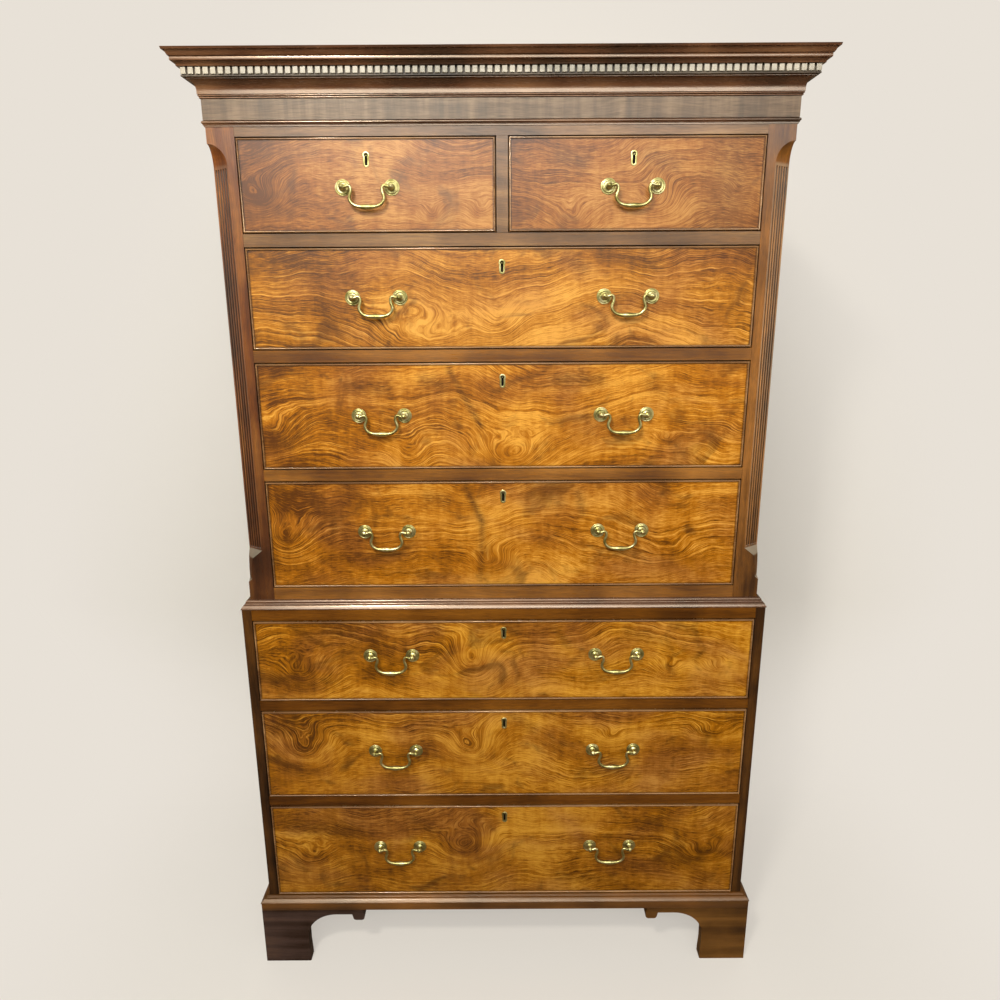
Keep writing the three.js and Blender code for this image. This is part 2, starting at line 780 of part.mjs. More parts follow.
// A rose and its post: a dished disc, a waisted neck and a round head. The rose's
// points are (radius, reach) as shares of its radius, and the head's are (radius,
// distance from the tip) as shares of the head's radius.
const roseShares = [[0, -0.12], [1, -0.12], [0.96, 0.13]];
const roseTopShare = 0.34;
const headShares = [[1, 1.3], [0.9, 0.5]];

function roseAndPost(x, z, faceY) {
  const neckEnd = postReach - postHeadRadius * 2;
  const profile = [
    ...member(roseShares, 0, roseRadius, 0, -roseRadius),
    [postNeckRadius, -roseRadius * roseTopShare],
    [postNeckRadius, -neckEnd],
    ...member(headShares, 0, postHeadRadius, -postReach, postHeadRadius - postReach),
    [0, -postReach],
  ];
  const points = profile.map(([r, y]) => new THREE.Vector2(r, y)).reverse();
  return new THREE.LatheGeometry(points, roseSides).translate(x, faceY, z);
}

const eyeY = postReach - eyeInset; // the eye's centre, out from the front

// The blind hole in a post's head, on the side that faces the handle's middle.
function postEye(x, z, faceY, towards) {
  const hole = new THREE.CylinderGeometry(eyeRadius, eyeRadius, eyeDepth + cutOverrun, eyeSides);
  hole.rotateZ(Math.PI / 2);
  const middle = postHeadRadius - eyeDepth + (eyeDepth + cutOverrun) / 2;
  return hole.translate(x + towards * middle, faceY - eyeY, z);
}

// The dovetails that join a front to a side, as (y, z) outlines: each is a tail that
// widens towards its tip, inside the front. A socket is the same outline, grown.
function tailOutlines(z0, z1, faceY, grow) {
  const span = (z1 - z0 - dovetailPin * (dovetailCount + 1)) / dovetailCount;
  const shoulder = faceY + frontThickness + touchGap;
  const root = shoulder + grow;
  const tip = faceY + frontThickness - dovetailDepth - grow;
  return Array.from({ length: dovetailCount }, (_, i) => {
    const low = z0 + dovetailPin + i * (span + dovetailPin);
    const high = low + span;
    return [
      [root, low + dovetailFlare - grow],
      [tip, low - grow],
      [tip, high + grow],
      [root, high - dovetailFlare + grow],
    ];
  });
}

// A drawer's side with its tails, in one outline.
function drawerSide(x0, x1, rearY, low, high, tailZ0, faceY) {
  const shoulder = faceY + frontThickness + touchGap;
  const tails = tailOutlines(tailZ0, high, faceY, 0).reverse().flatMap((tail) => tail.reverse());
  return alongX(
    shapeOf([[rearY, low], [rearY, high], [shoulder, high], ...tails, [shoulder, low]].reverse()),
    x0,
    x1,
  );
}

// One drawer: its front with brass fittings, and the box behind it.
function drawer(group, name, opening, faceY, handles, keyX) {
  const x0 = opening.x0 + runGap;
  const x1 = opening.x1 - runGap;
  const z0 = opening.low + touchGap * 2;
  const z1 = opening.high - runGap;
  const handleZ = z0 + (z1 - z0) * opening.handleShare;
  const keyZ = z1 - opening.keyholeDrop;

  const boxX0 = opening.x0 + boxGap;
  const boxX1 = opening.x1 - boxGap;
  const boxTop = z1 - drawerSideDrop;
  const boxLow = opening.low + touchGap;
  const sideFrontY = faceY + frontThickness + touchGap;
  const rearY = backY - backThickness - drawerRearGap;
  const inX0 = boxX0 + drawerSideThickness;
  const inX1 = boxX1 - drawerSideThickness;
  const tailZ0 = z0 + beadWidth;

  let front = solid(frontBoard(x0, x1, z0, z1, faceY));
  for (const x of handles) {
    for (const side of [-1, 1]) {
      const postX = x + (side * postSpacing) / 2;
      front = front.add(solid(roseAndPost(postX, handleZ, faceY)));
      front = front.subtract(solid(postEye(postX, handleZ, faceY, -side)));
    }
  }
  const ring = keyholeShape(escutcheonWidth);
  const plate = alongY(ring, faceY - escutcheonReach, faceY + escutcheonWidth);
  front = front.add(solid(plate.translate(keyX, 0, keyZ)));
  const hole = alongY(keyholeShape(0), faceY - escutcheonReach - cutOverrun, faceY + keyholeDepth);
  front = front.subtract(solid(hole.translate(keyX, 0, keyZ)));
  const pin = new THREE.CylinderGeometry(
    lockPinRadius, lockPinRadius, keyholeDepth + touchGap, lockPinSides,
  );
  const pinZ = keyZ + keyholeHalfHeight - keyholeBowRadius;
  pin.translate(keyX, faceY + escutcheonWidth + (keyholeDepth + touchGap) / 2, pinZ);
  front = front.add(solid(pin));
  for (const tail of tailOutlines(tailZ0, boxTop, faceY, dovetailGap)) {
    const left = alongX(shapeOf(tail), boxX0 - cutOverrun, inX0 + dovetailGap);
    const right = alongX(shapeOf(tail), inX1 - dovetailGap, boxX1 + cutOverrun);
    front = front.subtract(solid(left)).subtract(solid(right));
  }
  place(group, `${name}_front`, front, figuredMahogany);

  const bottomLow = boxLow + drawerBottomRaise;
  const bottomTop = bottomLow + drawerBottomThickness;
  const backTop = boxTop - drawerSideDrop;
  const backFace = rearY - drawerBackInset;
  const boardX0 = inX0 - housing;
  const boardX1 = inX1 + housing;
  const box = join([
    drawerSide(boxX0, inX0, rearY, boxLow, boxTop, tailZ0, faceY),
    drawerSide(inX1, boxX1, rearY, boxLow, boxTop, tailZ0, faceY),
    board(
      inX0 - housing * 2, inX1 + housing * 2,
      backFace - drawerBackThickness, backFace, bottomTop - housing, backTop,
    ),
    board(boardX0, boardX1, sideFrontY, backFace - drawerBackThickness / 2, bottomLow, bottomTop),
  ]);
  place(group, `${name}_box`, box, oak);
  return handleZ;
}

// A swan-neck bail: pins that turn outwards into the posts, a hooked neck, and a
// grip that thickens towards its middle. The path is half of it, from the hook to
// the middle, as shares of its half width and its drop.
const bailShares = [
  [0.99, -0.016], [0.885, 0.07], [0.928, 0.26], [1, 0.48], [0.99, 0.66], [0.9, 0.82], [0.7, 0.94],
  [0.4, 1], [0, 1],
];
const gripShare = 0.17; // of the bail's length, each side of its middle, that thickens
const gripSwellShare = 1.3;
const crowdingShare = 0.03; // how far the rings crowd together at the hooks

function bail(group, name, x, z, faceY) {
  const pinEnd = postSpacing / 2 - postHeadRadius + eyeDepth - touchGap * 2;
  const neckOut = postSpacing / 2 - postHeadRadius - touchGap * 3;
  const half = [[pinEnd, 0], [neckOut, 0], ...member(bailShares, 0, bailHalfWidth, 0, -bailDrop)];
  const places = [
    ...half.map(([px, pz]) => new THREE.Vector3(px, 0, pz)),
    ...half.slice(0, -1).reverse().map(([px, pz]) => new THREE.Vector3(-px, 0, pz)),
  ];
  const path = new THREE.CatmullRomCurve3(places, false, "centripetal");
  const rings = [];
  for (let i = 0; i <= bailSteps; i++) {
    const share = i / bailSteps - crowdingShare * Math.sin((i / bailSteps) * Math.PI * 4);
    const centre = path.getPointAt(share);
    const along = path.getTangentAt(share);
    const out = new THREE.Vector3(0, 1, 0);
    const across = new THREE.Vector3().crossVectors(along, out).normalize();
    const nearMiddle = Math.max(0, 1 - Math.abs(share - 1 / 2) / gripShare);
    const radius = bailWireRadius + (bailGripRadius - bailWireRadius) * nearMiddle ** gripSwellShare;
    rings.push(
      Array.from({ length: bailSides }, (_, k) => {
        const turn = (Math.PI * (2 * k + 1)) / bailSides;
        return centre
          .clone()
          .addScaledVector(out, Math.cos(turn) * radius)
          .addScaledVector(across, Math.sin(turn) * radius);
      }),
    );
  }
  const cap = Array.from({ length: bailSides }, (_, k) => {
    const turn = (Math.PI * (2 * k + 1)) / bailSides;
    return new THREE.Vector2(Math.cos(turn), Math.sin(turn));
  });
  place(group, name, skin(rings, cap), brass).position.set(x, faceY - eyeY, z);
}

// A drawer with its bails, in a group of its own.
function fittedDrawer(parent, name, opening, faceY, handles, keyX, bailNames) {
  const group = new THREE.Group();
  parent.add(group);
  const handleZ = drawer(group, name, opening, faceY, handles, keyX);
  handles.forEach((x, i) => bail(group, `${name}_${bailNames[i]}`, x, handleZ, faceY));
}

const upperOpening = (row) => ({ ...row, x0: -upperOpeningHalf, x1: upperOpeningHalf });
const lowerOpening = (row) => ({ ...row, x0: -lowerInner, x1: lowerInner });

function buildDrawers() {
  const pair = [-handleSpread, handleSpread];
  const twoBails = ["left_bail", "right_bail"];
  upperRows.slice(0, -1).forEach((row, i) => {
    const name = `upper_drawer_${upperRows.length - 1 - i}`;
    fittedDrawer(upperCase, name, upperOpening(row), upperFrontY, pair, 0, twoBails);
  });
  lowerRows.forEach((row, i) => {
    const name = `lower_drawer_${lowerRows.length - i}`;
    fittedDrawer(lowerCase, name, lowerOpening(row), lowerFrontY, pair, 0, twoBails);
  });
  const leftEdge = dividerOffset - dividerWidth / 2;
  const rightEdge = dividerOffset + dividerWidth / 2;
  const shortLeft = { ...shortRow, x0: -upperOpeningHalf, x1: leftEdge };
  const shortRight = { ...shortRow, x0: rightEdge, x1: upperOpeningHalf };
  for (const [name, opening, x] of [
    ["left_short_drawer", shortLeft, leftHandleX],
    ["right_short_drawer", shortRight, rightHandleX],
  ]) {
    fittedDrawer(upperCase, name, opening, upperFrontY, [x], x, ["bail"]);
  }
}

buildLowerCase();
buildFeet();
buildUpperCase();
buildDrawers();

export default chest;
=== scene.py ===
"""A mahogany chest on chest of about 1780, dressed round its CAD frame.

Metres, +Z up, the drawers face -Y. Sizes are written in millimetres and turned to
metres by mm. The sections follow the piece as it is put together: light and ground,
cases, mouldings, feet, corner posts, then the drawers and their brass.
"""

import functools
import math

import bmesh
import bpy
import numpy as np
from mathutils import Matrix, Vector


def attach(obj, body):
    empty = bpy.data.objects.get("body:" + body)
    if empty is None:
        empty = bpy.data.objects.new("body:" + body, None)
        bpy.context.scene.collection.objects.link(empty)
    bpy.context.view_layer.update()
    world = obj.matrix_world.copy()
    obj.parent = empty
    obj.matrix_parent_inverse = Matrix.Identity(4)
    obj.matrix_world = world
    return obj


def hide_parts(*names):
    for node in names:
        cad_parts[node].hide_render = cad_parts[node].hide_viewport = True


mm = 0.001
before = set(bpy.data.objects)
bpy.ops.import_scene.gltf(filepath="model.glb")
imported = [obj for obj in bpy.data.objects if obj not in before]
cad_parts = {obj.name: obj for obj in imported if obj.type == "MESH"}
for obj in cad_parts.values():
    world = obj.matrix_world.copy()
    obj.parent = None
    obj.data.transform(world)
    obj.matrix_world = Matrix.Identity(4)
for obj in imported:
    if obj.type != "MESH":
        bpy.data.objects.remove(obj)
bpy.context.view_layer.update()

# The camera. The photograph was taken with a wide lens from 1.4 m in front of the
# upper chest, at eye level and tilted down, with the left side a little low.
camera_data = bpy.data.cameras.new("camera")
camera_data.sensor_width = 36.0
camera_data.lens = 27.0
camera = bpy.data.objects.new("camera", camera_data)
camera.location = (-5.9 * mm, -1623.15 * mm, 1422.2 * mm)
tilt = Matrix.Rotation(math.radians(90 - 14.66), 3, "X")
roll = Matrix.Rotation(math.radians(-0.33), 3, "Z")
camera.rotation_euler = (tilt @ roll).to_euler()
bpy.context.scene.collection.objects.link(camera)
bpy.context.scene.camera = camera
bpy.context.scene.view_settings.view_transform = "Standard"


# Light. A wide window-like source high in front gives the pale sheen that fades down
# the fronts, a low one on the right lifts the feet, and the room fills the shadows.
def tone(hex_colour):
    """An sRGB hex colour as linear RGBA."""
    parts = np.array([int(hex_colour[i : i + 2], 16) for i in (1, 3, 5)]) / 255
    linear = np.where(parts <= 0.04045, parts / 12.92, ((parts + 0.055) / 1.055) ** 2.4)
    return (*map(float, linear), 1.0)


def add(tree, kind, sockets=(), stops=(), **settings):
    """Adds a shader node. sockets go by name, or as a list to the first ones in turn; a
    node given for one stands for its first output. stops are the (place, colour) pairs
    of a ramp, and settings are the node's properties."""
    made = tree.nodes.new("ShaderNode" + kind)
    for key, value in settings.items():
        setattr(made, key, value)
    for key, value in sockets.items() if isinstance(sockets, dict) else enumerate(sockets):
        if isinstance(value, bpy.types.Node):
            value = value.outputs[0]
        if isinstance(value, bpy.types.NodeSocket):
            tree.links.new(value, made.inputs[key])
        else:
            made.inputs[key].default_value = value
    if stops:
        ramp = made.color_ramp.elements
        while len(ramp) < len(stops):
            ramp.new(0.5)
        for element, (place, colour) in zip(ramp, stops):
            element.position = place
            element.color = colour
    return made


def softbox(name, place, aim, width, height, power, colour):
    """A rectangular light at a place, facing an aim, in metres and watts."""
    data = bpy.data.lights.new(name, "AREA")
    data.shape = "RECTANGLE"
    data.size = width
    data.size_y = height
    data.energy = power
    data.color = tone(colour)[:3]
    lamp = bpy.data.objects.new(name, data)
    away = Vector(place) - Vector(aim)
    lamp.matrix_world = away.to_track_quat("Z", "Y").to_matrix().to_4x4()
    lamp.location = place
    bpy.context.scene.collection.objects.link(lamp)


softbox("ceiling_window", (-0.5, -2.9, 3.3), (0, -0.2, 1.2), 2.6, 1.3, 32, "#FFF9F0")
softbox("high_strip", (0.1, -3.0, 2.52), (0, -0.2, 1.75), 3.0, 0.75, 54, "#FBFAF4")
softbox("lamp", (-0.7, -2.1, 2.9), (0, -0.2, 1.1), 0.3, 0.25, 44, "#FFF8EA")
softbox("right_fill", (2.6, -2.2, 1.0), (0, -0.2, 0.6), 1.0, 1.4, 13, "#FFF0DC")

paper = "#E8E1D7"
world = bpy.data.worlds.new("room")
bpy.context.scene.world = world
world.use_nodes = True
world.node_tree.nodes.clear()
put = functools.partial(add, world.node_tree)
rays = put("LightPath").outputs
way = put("SeparateXYZ", [put("TexCoord").outputs["Generated"]])
upward = put("MapRange", [way.outputs["Z"], -0.1, 0.9, 0.5, 1.0])
dim = put("Background", [tone("#E4DDD2"), 0.31])
room = put("Background", [tone(paper), upward])
bright = put("Background", [tone(paper), 1.0])
shiny = put("MixShader", [rays["Is Glossy Ray"], dim, room])
seen = put("Math", [rays["Is Camera Ray"], rays["Is Transmission Ray"]], operation="MAXIMUM")
both = put("MixShader", [seen, shiny, bright])
put("OutputWorld", [both])


# The ground. A sweep of pale paper, flat on the floor and curved up behind the chest. It
# glows a little to the camera so that it stays even, still takes the chest's soft
# shadow, and can be looked through from behind.
def sheet_of(points, wrap_rows=False, wrap_columns=False, caps=False):
    """A mesh over a grid of points (rows, columns, 3) in millimetres, closed across its
    rows or its columns where asked, with a flat cap over the first and last row."""
    rows, columns = points.shape[:2]
    index = np.arange(rows * columns).reshape(rows, columns)
    if wrap_rows:
        index = np.concatenate([index, index[:1]])
    if wrap_columns:
        index = np.concatenate([index, index[:, :1]], axis=1)
    corners = (index[:-1, :-1], index[:-1, 1:], index[1:, 1:], index[1:, :-1])
    faces = np.stack([c.ravel() for c in corners], axis=1).tolist()
    if caps:
        faces.append(range(columns))
        faces.append(range((rows - 1) * columns, rows * columns))
    mesh = bpy.data.meshes.new("sheet")
    mesh.from_pydata((points.reshape(-1, 3) * mm).tolist(), [], faces)
    return mesh


def new_material(name):
    """An empty material, add for its tree, and the Object coordinates in it."""
    made = bpy.data.materials.new(name)
    made.use_nodes = True
    made.node_tree.nodes.clear()
    put = functools.partial(add, made.node_tree)
    return made, put, put("TexCoord").outputs["Object"]


ground_paper, put, spot = new_material("pale_paper")
# Near the chest up to 0.85 of the paper is matt and takes its shadow, half of that on
# the floor, and farther out than 1.6 m, or 1.25 m on the floor, all of it glows.
squeezed = put("VectorMath", [spot, (1.0, 0.5, 0.62)], operation="MULTIPLY")
reach = put("VectorMath", [squeezed], operation="LENGTH").outputs["Value"]
above_floor = put("SeparateXYZ", [spot]).outputs["Z"]
up_share = put("MapRange", [above_floor, 0.0, 0.5, 0.5, 1.0])
low_share = put("Math", [1.0, up_share], operation="SUBTRACT")
shifted = put("Math", [low_share, 0.7, reach], operation="MULTIPLY_ADD")
near = put("MapRange", [shifted, 0.95, 1.6, 0.85, 0.0], interpolation_type="SMOOTHSTEP")
matt_share = put("Math", [near, up_share], operation="MULTIPLY")
rays = put("LightPath").outputs
mirrored = {"Factor": rays["Is Glossy Ray"], "A": tone("#E3E1DD"), "B": tone("#7C6C5A")}
mirrored = put("Mix", mirrored, data_type="RGBA").outputs["Result"]
matt = put("BsdfDiffuse", {"Color": mirrored})
glow = put("Emission", {"Color": tone(paper)})
glow_share = put("Math", [1.0, matt_share], operation="SUBTRACT")
weight = put("Math", [rays["Is Camera Ray"], glow_share], operation="MULTIPLY")
mixed = put("MixShader", [weight, matt, glow])
behind = put("NewGeometry").outputs["Backfacing"]
one_sided = put("MixShader", [behind, mixed, put("BsdfTransparent")])
put("OutputMaterial", [one_sided])
quarter = np.linspace(0, math.pi / 2, 13)
run_y = np.concatenate([[-40000, -3000, 0], 300 + 340 * np.sin(quarter), [640, 640]])
run_z = np.concatenate([[0, 0, 0], 340 - 340 * np.cos(quarter), [3000, 40000]])
wide = np.array([-40000.0, -2000.0, 2000.0, 40000.0])
sweep = np.stack(np.broadcast_arrays(wide, run_y[:, None], run_z[:, None]), axis=2)
ground = bpy.data.objects.new("ground", sheet_of(sweep))
ground.data.name = "ground"
ground.data.polygons.foreach_set("use_smooth", np.full(len(ground.data.polygons), True))
ground.data.materials.append(ground_paper)
bpy.context.scene.collection.objects.link(ground)


# Case woodwork: old Cuban mahogany, planed, oiled and polished with shellac and wax.
# The open pores are filled dark and the tone drifts from board to board. The upper chest
# is paler and the parts near the floor almost black, partly patina and partly painted
# shade of the light falling off downwards.
def bent_grain(put, spot, scale, detail, reach):
    """Coordinates pushed about by a slow noise, over so many metres."""
    drift = put("TexNoise", {"Vector": spot, "Scale": scale, "Detail": detail})
    push = put("VectorMath", [drift.outputs["Color"], (reach,) * 3], operation="MULTIPLY")
    return put("VectorMath", [spot, push], operation="ADD")


def polished_mahogany(
    name, dark, middle, light, along="X", roughness=0.3, gloss=0.3, coat=0.0, streaks=1.0,
    grime_and_shade=0.0, patches=(7, 7, 7), shellac="#FFFFFF",
):
    """Straight-grained mahogany. along is the way the grain runs: X takes Y with it,
    so that it also runs round a moulding's returns. Pores are 25 mm by 1.2 mm, coarser
    than real ones so that they show, and growth bands are 18 mm apart. Given a share of
    painted shade, it reads how deep in a hollow each point lies and paints the hollows
    darker, partly polish and dirt gathered there and partly painted shade, and the edges
    between them lighter as a painted highlight. It mixes a pale grey in where points are
    marked, partly dusting and mostly painted highlight, and paints the wood darker towards
    the floor by that share, as painted shade of the light falling off downwards."""
    made, put, spot = new_material(name)
    bent = bent_grain(put, spot, 3.0, 3.0, 0.035)
    noises = []
    for place, scale, detail, coarse in (
        (bent, (1.6, 1.6, 46) if along == "X" else (46, 46, 1.6), 6.0, 0.62),
        (bent, (36, 36, 760) if along == "X" else (760, 760, 36), 3.0, 0.7),
        (spot, patches, 4.0, 0.5),
    ):
        at = put("Mapping", {"Vector": place, "Scale": scale})
        noise = {"Vector": at, "Scale": 1.0, "Detail": detail, "Roughness": coarse}
        noises.append(put("TexNoise", noise))
    bands, pores, patch = noises
    tint = put("Math", [bands, patch], operation="ADD")
    tint = put("Math", [tint, 0.5], operation="MULTIPLY")
    colours = [(0.38, tone(dark)), (0.5, tone(middle)), (0.63, tone(light))]
    wood = put("ValToRGB", [tint], colours)
    filled = put("MapRange", [pores, 0.3, 0.62, 1.0 - 0.42 * streaks, 1.0 + 0.12 * streaks])
    worn = put("VectorMath", {0: wood, "Scale": filled}, operation="SCALE")
    if grime_and_shade:
        # Painted shade in the hollows and a painted highlight on the edges between them, partly polish
        # and dirt in the flutes.
        hollow = put("Attribute", attribute_name="hollow").outputs["Fac"]
        hollow_shade_and_highlight = put("MapRange", [hollow, 0.0, 0.75, 1.85, 0.22])
        # A pale grey where points are marked: partly dusting, mostly painted highlight.
        dust = put("Attribute", attribute_name="dust").outputs["Fac"]
        dust = put("Math", [dust, 0.62], operation="MULTIPLY")
        dusty = put("Mix", {"Factor": dust, "A": worn, "B": tone("#A39A88")}, data_type="RGBA")
        # Painted shade: darker towards the floor, by the given share.
        height = put("SeparateXYZ", [spot]).outputs["Z"]
        rubbed = put("MapRange", [height, 0.86, 1.35, 1.0 - grime_and_shade, 1.0])
        hollow_shade_and_highlight = put("Math", [hollow_shade_and_highlight, rubbed], operation="MULTIPLY")
        worn = {0: dusty.outputs["Result"], "Scale": hollow_shade_and_highlight}
        worn = put("VectorMath", worn, operation="SCALE")
    rough = put("MapRange", [pores, 0.3, 0.7, roughness + 0.12, roughness - 0.04])
    bump = put("Bump", {"Height": pores, "Strength": 0.12, "Distance": 0.0006})
    shader = {
        "Base Color": worn, "Roughness": rough, "IOR": 1.5, "Specular IOR Level": gloss,
        "Specular Tint": tone(shellac), "Normal": bump, "Coat Weight": coat,
        "Coat Roughness": 0.12,
    }
    put("OutputMaterial", [put("BsdfPrincipled", shader)])
    return made


def bare_board(name, dark, light, along="X"):
    """Unpolished board, oak or pine, planed and gone brown in the dark: dry, with
    growth lines every 6 mm or so along the board."""
    made, put, spot = new_material(name)
    bent = bent_grain(put, spot, 4.0, 2.0, 0.03)
    scale = (2.0, 160, 160) if along == "X" else (160, 2.0, 90)
    place = put("Mapping", {"Vector": bent, "Scale": scale})
    lines = put("TexNoise", {"Vector": place, "Scale": 1.0, "Detail": 5.0, "Roughness": 0.6})
    wood = put("ValToRGB", [lines], [(0.35, tone(dark)), (0.68, tone(light))])
    bump = put("Bump", {"Height": lines, "Strength": 0.25, "Distance": 0.0008})
    shader = {
        "Base Color": wood, "Roughness": 0.72, "IOR": 1.5, "Specular IOR Level": 0.3,
        "Normal": bump,
    }
    put("OutputMaterial", [put("BsdfPrincipled", shader)])
    return made


def finish_nodes(names, material):
    """Gives one material to all of each named CAD node."""
    for name in names.split():
        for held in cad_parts[name].material_slots:
            held.material = material


# The lower sides and rails are darker copies of the upper ones: painted shade of the light falling off
# towards the floor, with some patina.
for wood_name, dark, middle, light, along, gloss, nodes in (
    ("upright_mahogany", "#2C1808", "#4E2F12", "#70481E", "Z", 0.25,
     "upper_left_side upper_right_side"),
    ("lower_upright_mahogany", "#1E1006", "#38210C", "#553410", "Z", 0.15,
     "lower_left_side lower_right_side"),
    ("upper_rail_mahogany", "#54300E", "#7C4E18", "#9A6628", "X", 0.6,
     "upper_dustboard_1 upper_dustboard_2 upper_bottom_board"),
    ("lower_rail_mahogany", "#3C2006", "#5E3609", "#764810", "X", 0.1,
     "lower_top_rail lower_dustboard_1 lower_dustboard_2 lower_bottom_board"),
    ("top_rail_mahogany", "#4A3218", "#72502C", "#8E6A3E", "X", 0.55,
     "upper_top_rail upper_dustboard_3 small_drawer_divider"),
):
    finish_nodes(nodes, polished_mahogany(wood_name, dark, middle, light, along, gloss=gloss))
pine = bare_board("aged_pine", "#6E5236", "#927048")
finish_nodes("lower_back upper_back lower_top_board upper_top_board", pine)
oak = bare_board("drawer_lining_oak", "#7A5C38", "#B08B5B", "Y")
frieze_wood = polished_mahogany(
    "frieze_mahogany", "#46362A", "#5C4836", "#725C46", roughness=0.36, gloss=0.56,
    streaks=0.9, patches=(64, 64, 6), shellac="#FFFAF0",
)
finish_nodes("frieze", frieze_wood)


# Mouldings: planed lengths of the darker mahogany, mitred at the two front corners,
# glued and pinned. Polish has gathered in the hollows and worn thin on the edges.
def piece(name, mesh, material, body, replaces=(), smooth=True, crease=38):
    """Puts a mesh in the scene: normals outwards, soft shading broken at edges sharper
    than crease degrees, riding on a body of the frame."""
    mesh.name = name
    shell = bmesh.new()
    shell.from_mesh(mesh)
    bmesh.ops.recalc_face_normals(shell, faces=shell.faces)
    shell.to_mesh(mesh)
    shell.free()
    mesh.polygons.foreach_set("use_smooth", np.full(len(mesh.polygons), smooth))
    if smooth:
        mesh.set_sharp_from_angle(angle=math.radians(crease))
    mesh.materials.append(material)
    made = bpy.data.objects.new(name, mesh)
    bpy.context.scene.collection.objects.link(made)
    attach(made, body)
    if replaces:
        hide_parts(*replaces)
    return made


def sweep_of_arc(start, end, steps=8):
    """A hollow quarter of an ellipse that leaves its start upright and meets its end
    level."""
    t = np.linspace(0, math.pi / 2, steps + 1)
    (x0, z0), (x1, z1) = start, end
    return np.stack([x0 + (x1 - x0) * (1 - np.cos(t)), z0 + (z1 - z0) * np.sin(t)], axis=1)


def half_round(low, high, reach, swell):
    """A bead: half an ellipse standing swell out of the line at reach, from low to high."""
    t = np.linspace(0, math.pi, 9)
    heights = (low + high) / 2 - (high - low) / 2 * np.cos(t)
    return np.stack([reach + swell * np.sin(t), heights], axis=1)


rear = 272.75
upper_half, upper_front = 504, -227.25
lower_half, lower_front = 518.5, -241.75


def carried_round(name, outline, upper, material, replaced):
    """A moulding on the upper or the lower case: its outline of (reach from the case,
    height) is set out at the two back ends and the two mitred front corners, and joined
    up."""
    outline = np.concatenate([np.atleast_2d(part) for part in outline])
    half, front = (upper_half, upper_front) if upper else (lower_half, lower_front)
    corners = [(half, rear, 1, 0), (half, front, 1, -1), (-half, front, -1, -1), (-half, rear, -1, 0)]
    reach, height = outline.T
    rings = [np.stack([x + dx * reach, y + dy * reach, height], axis=1) for x, y, dx, dy in corners]
    mesh = sheet_of(np.array(rings), wrap_columns=True, caps=True)
    body = "upper_chest" if upper else "lower_chest"
    piece(name, mesh, material, body, [replaced], crease=32)


moulding_wood = polished_mahogany(
    "moulding_mahogany", "#2A180E", "#4C2E1C", "#6C4A30", roughness=0.2, gloss=0.95, coat=0.4,
    streaks=0.3, shellac="#FFE4C6",
)
crown_rise = np.linspace(0, 1, 13)
crown_wave = crown_rise - 0.145 * np.sin(2 * np.pi * crown_rise)
cornice_outline = [
    (0.3, 1758.9), (3.4, 1758.9), half_round(1759.0, 1761.6, 3.5, 1.1), (3.9, 1761.9),
    half_round(1762.1, 1764.7, 5.0, 1.1), (5.4, 1765.0), (6.6, 1765.2), (6.6, 1769.8),
    sweep_of_arc((6.6, 1770.0), (17.6, 1785.8), 12), (18.5, 1785.9), (18.5, 1801.7), (28.4, 1801.7),
    sweep_of_arc((28.5, 1801.9), (34.1, 1808.0)), (34.4, 1808.1), (35.3, 1808.4), (35.55, 1809.2),
    (35.62, 1810.9), (35.55, 1812.6), (35.3, 1813.5), (34.8, 1813.8), (35.0, 1814.0),
    np.stack([35.7 + 7.2 * crown_rise, 1814.2 + 8.2 * crown_wave], axis=1),
    (44.5, 1822.5), (45.4, 1826.0), (-14.0, 1826.0), (-14.0, 1799.9), (0.3, 1799.9),
]
carried_round("cornice_moulding", cornice_outline, True, moulding_wood, "cornice")
astragal_outline = [
    (0.3, 1716.1), (1.7, 1716.1), (1.7, 1717.9), (3.0, 1718.3), (3.0, 1719.8),
    half_round(1720.0, 1724.6, 3.1, 1.7), (2.7, 1725.1), (0.3, 1725.6),
]
carried_round("astragal_moulding", astragal_outline, True, moulding_wood, "astragal")
waist_outline = [
    (-13.7, 838.3), (0.8, 838.3), half_round(838.5, 840.7, 0.8, 0.8), (0.9, 840.9), (0.2, 842.2),
    (-0.7, 843.9), (-1.8, 845.5), (-2.9, 846.8), sweep_of_arc((-6.6, 850.4), (-3.2, 847.0))[::-1],
    (-6.7, 851.0), (-6.9, 852.5), (-7.8, 854.2), (-9.0, 855.2), (-9.6, 855.5), (-13.7, 855.5),
]
carried_round("waist_moulding_run", waist_outline, False, moulding_wood, "waist_moulding")
base_outline = [
    (-70.0, 136.0), (15.0, 136.0), (15.0, 153.4), half_round(153.5, 155.3, 15.3, 1.0), (15.3, 155.5),
    (13.6, 157.4), (11.6, 159.3), (9.4, 160.9), sweep_of_arc((5.2, 163.0), (9.0, 161.1), 6)[::-1],
    (4.6, 163.2), (3.6, 164.7), (0.9, 165.0), (0.3, 165.0), (0.3, 145.0), (-70.0, 145.0),
]
base_wood = polished_mahogany(
    "base_mahogany", "#3A220C", "#5C3812", "#764A1A", roughness=0.3, gloss=0.75, coat=0.08,
    streaks=0.5, shellac="#FFECD4",
)
carried_round("base_frame", base_outline, False, base_wood, "base_moulding")


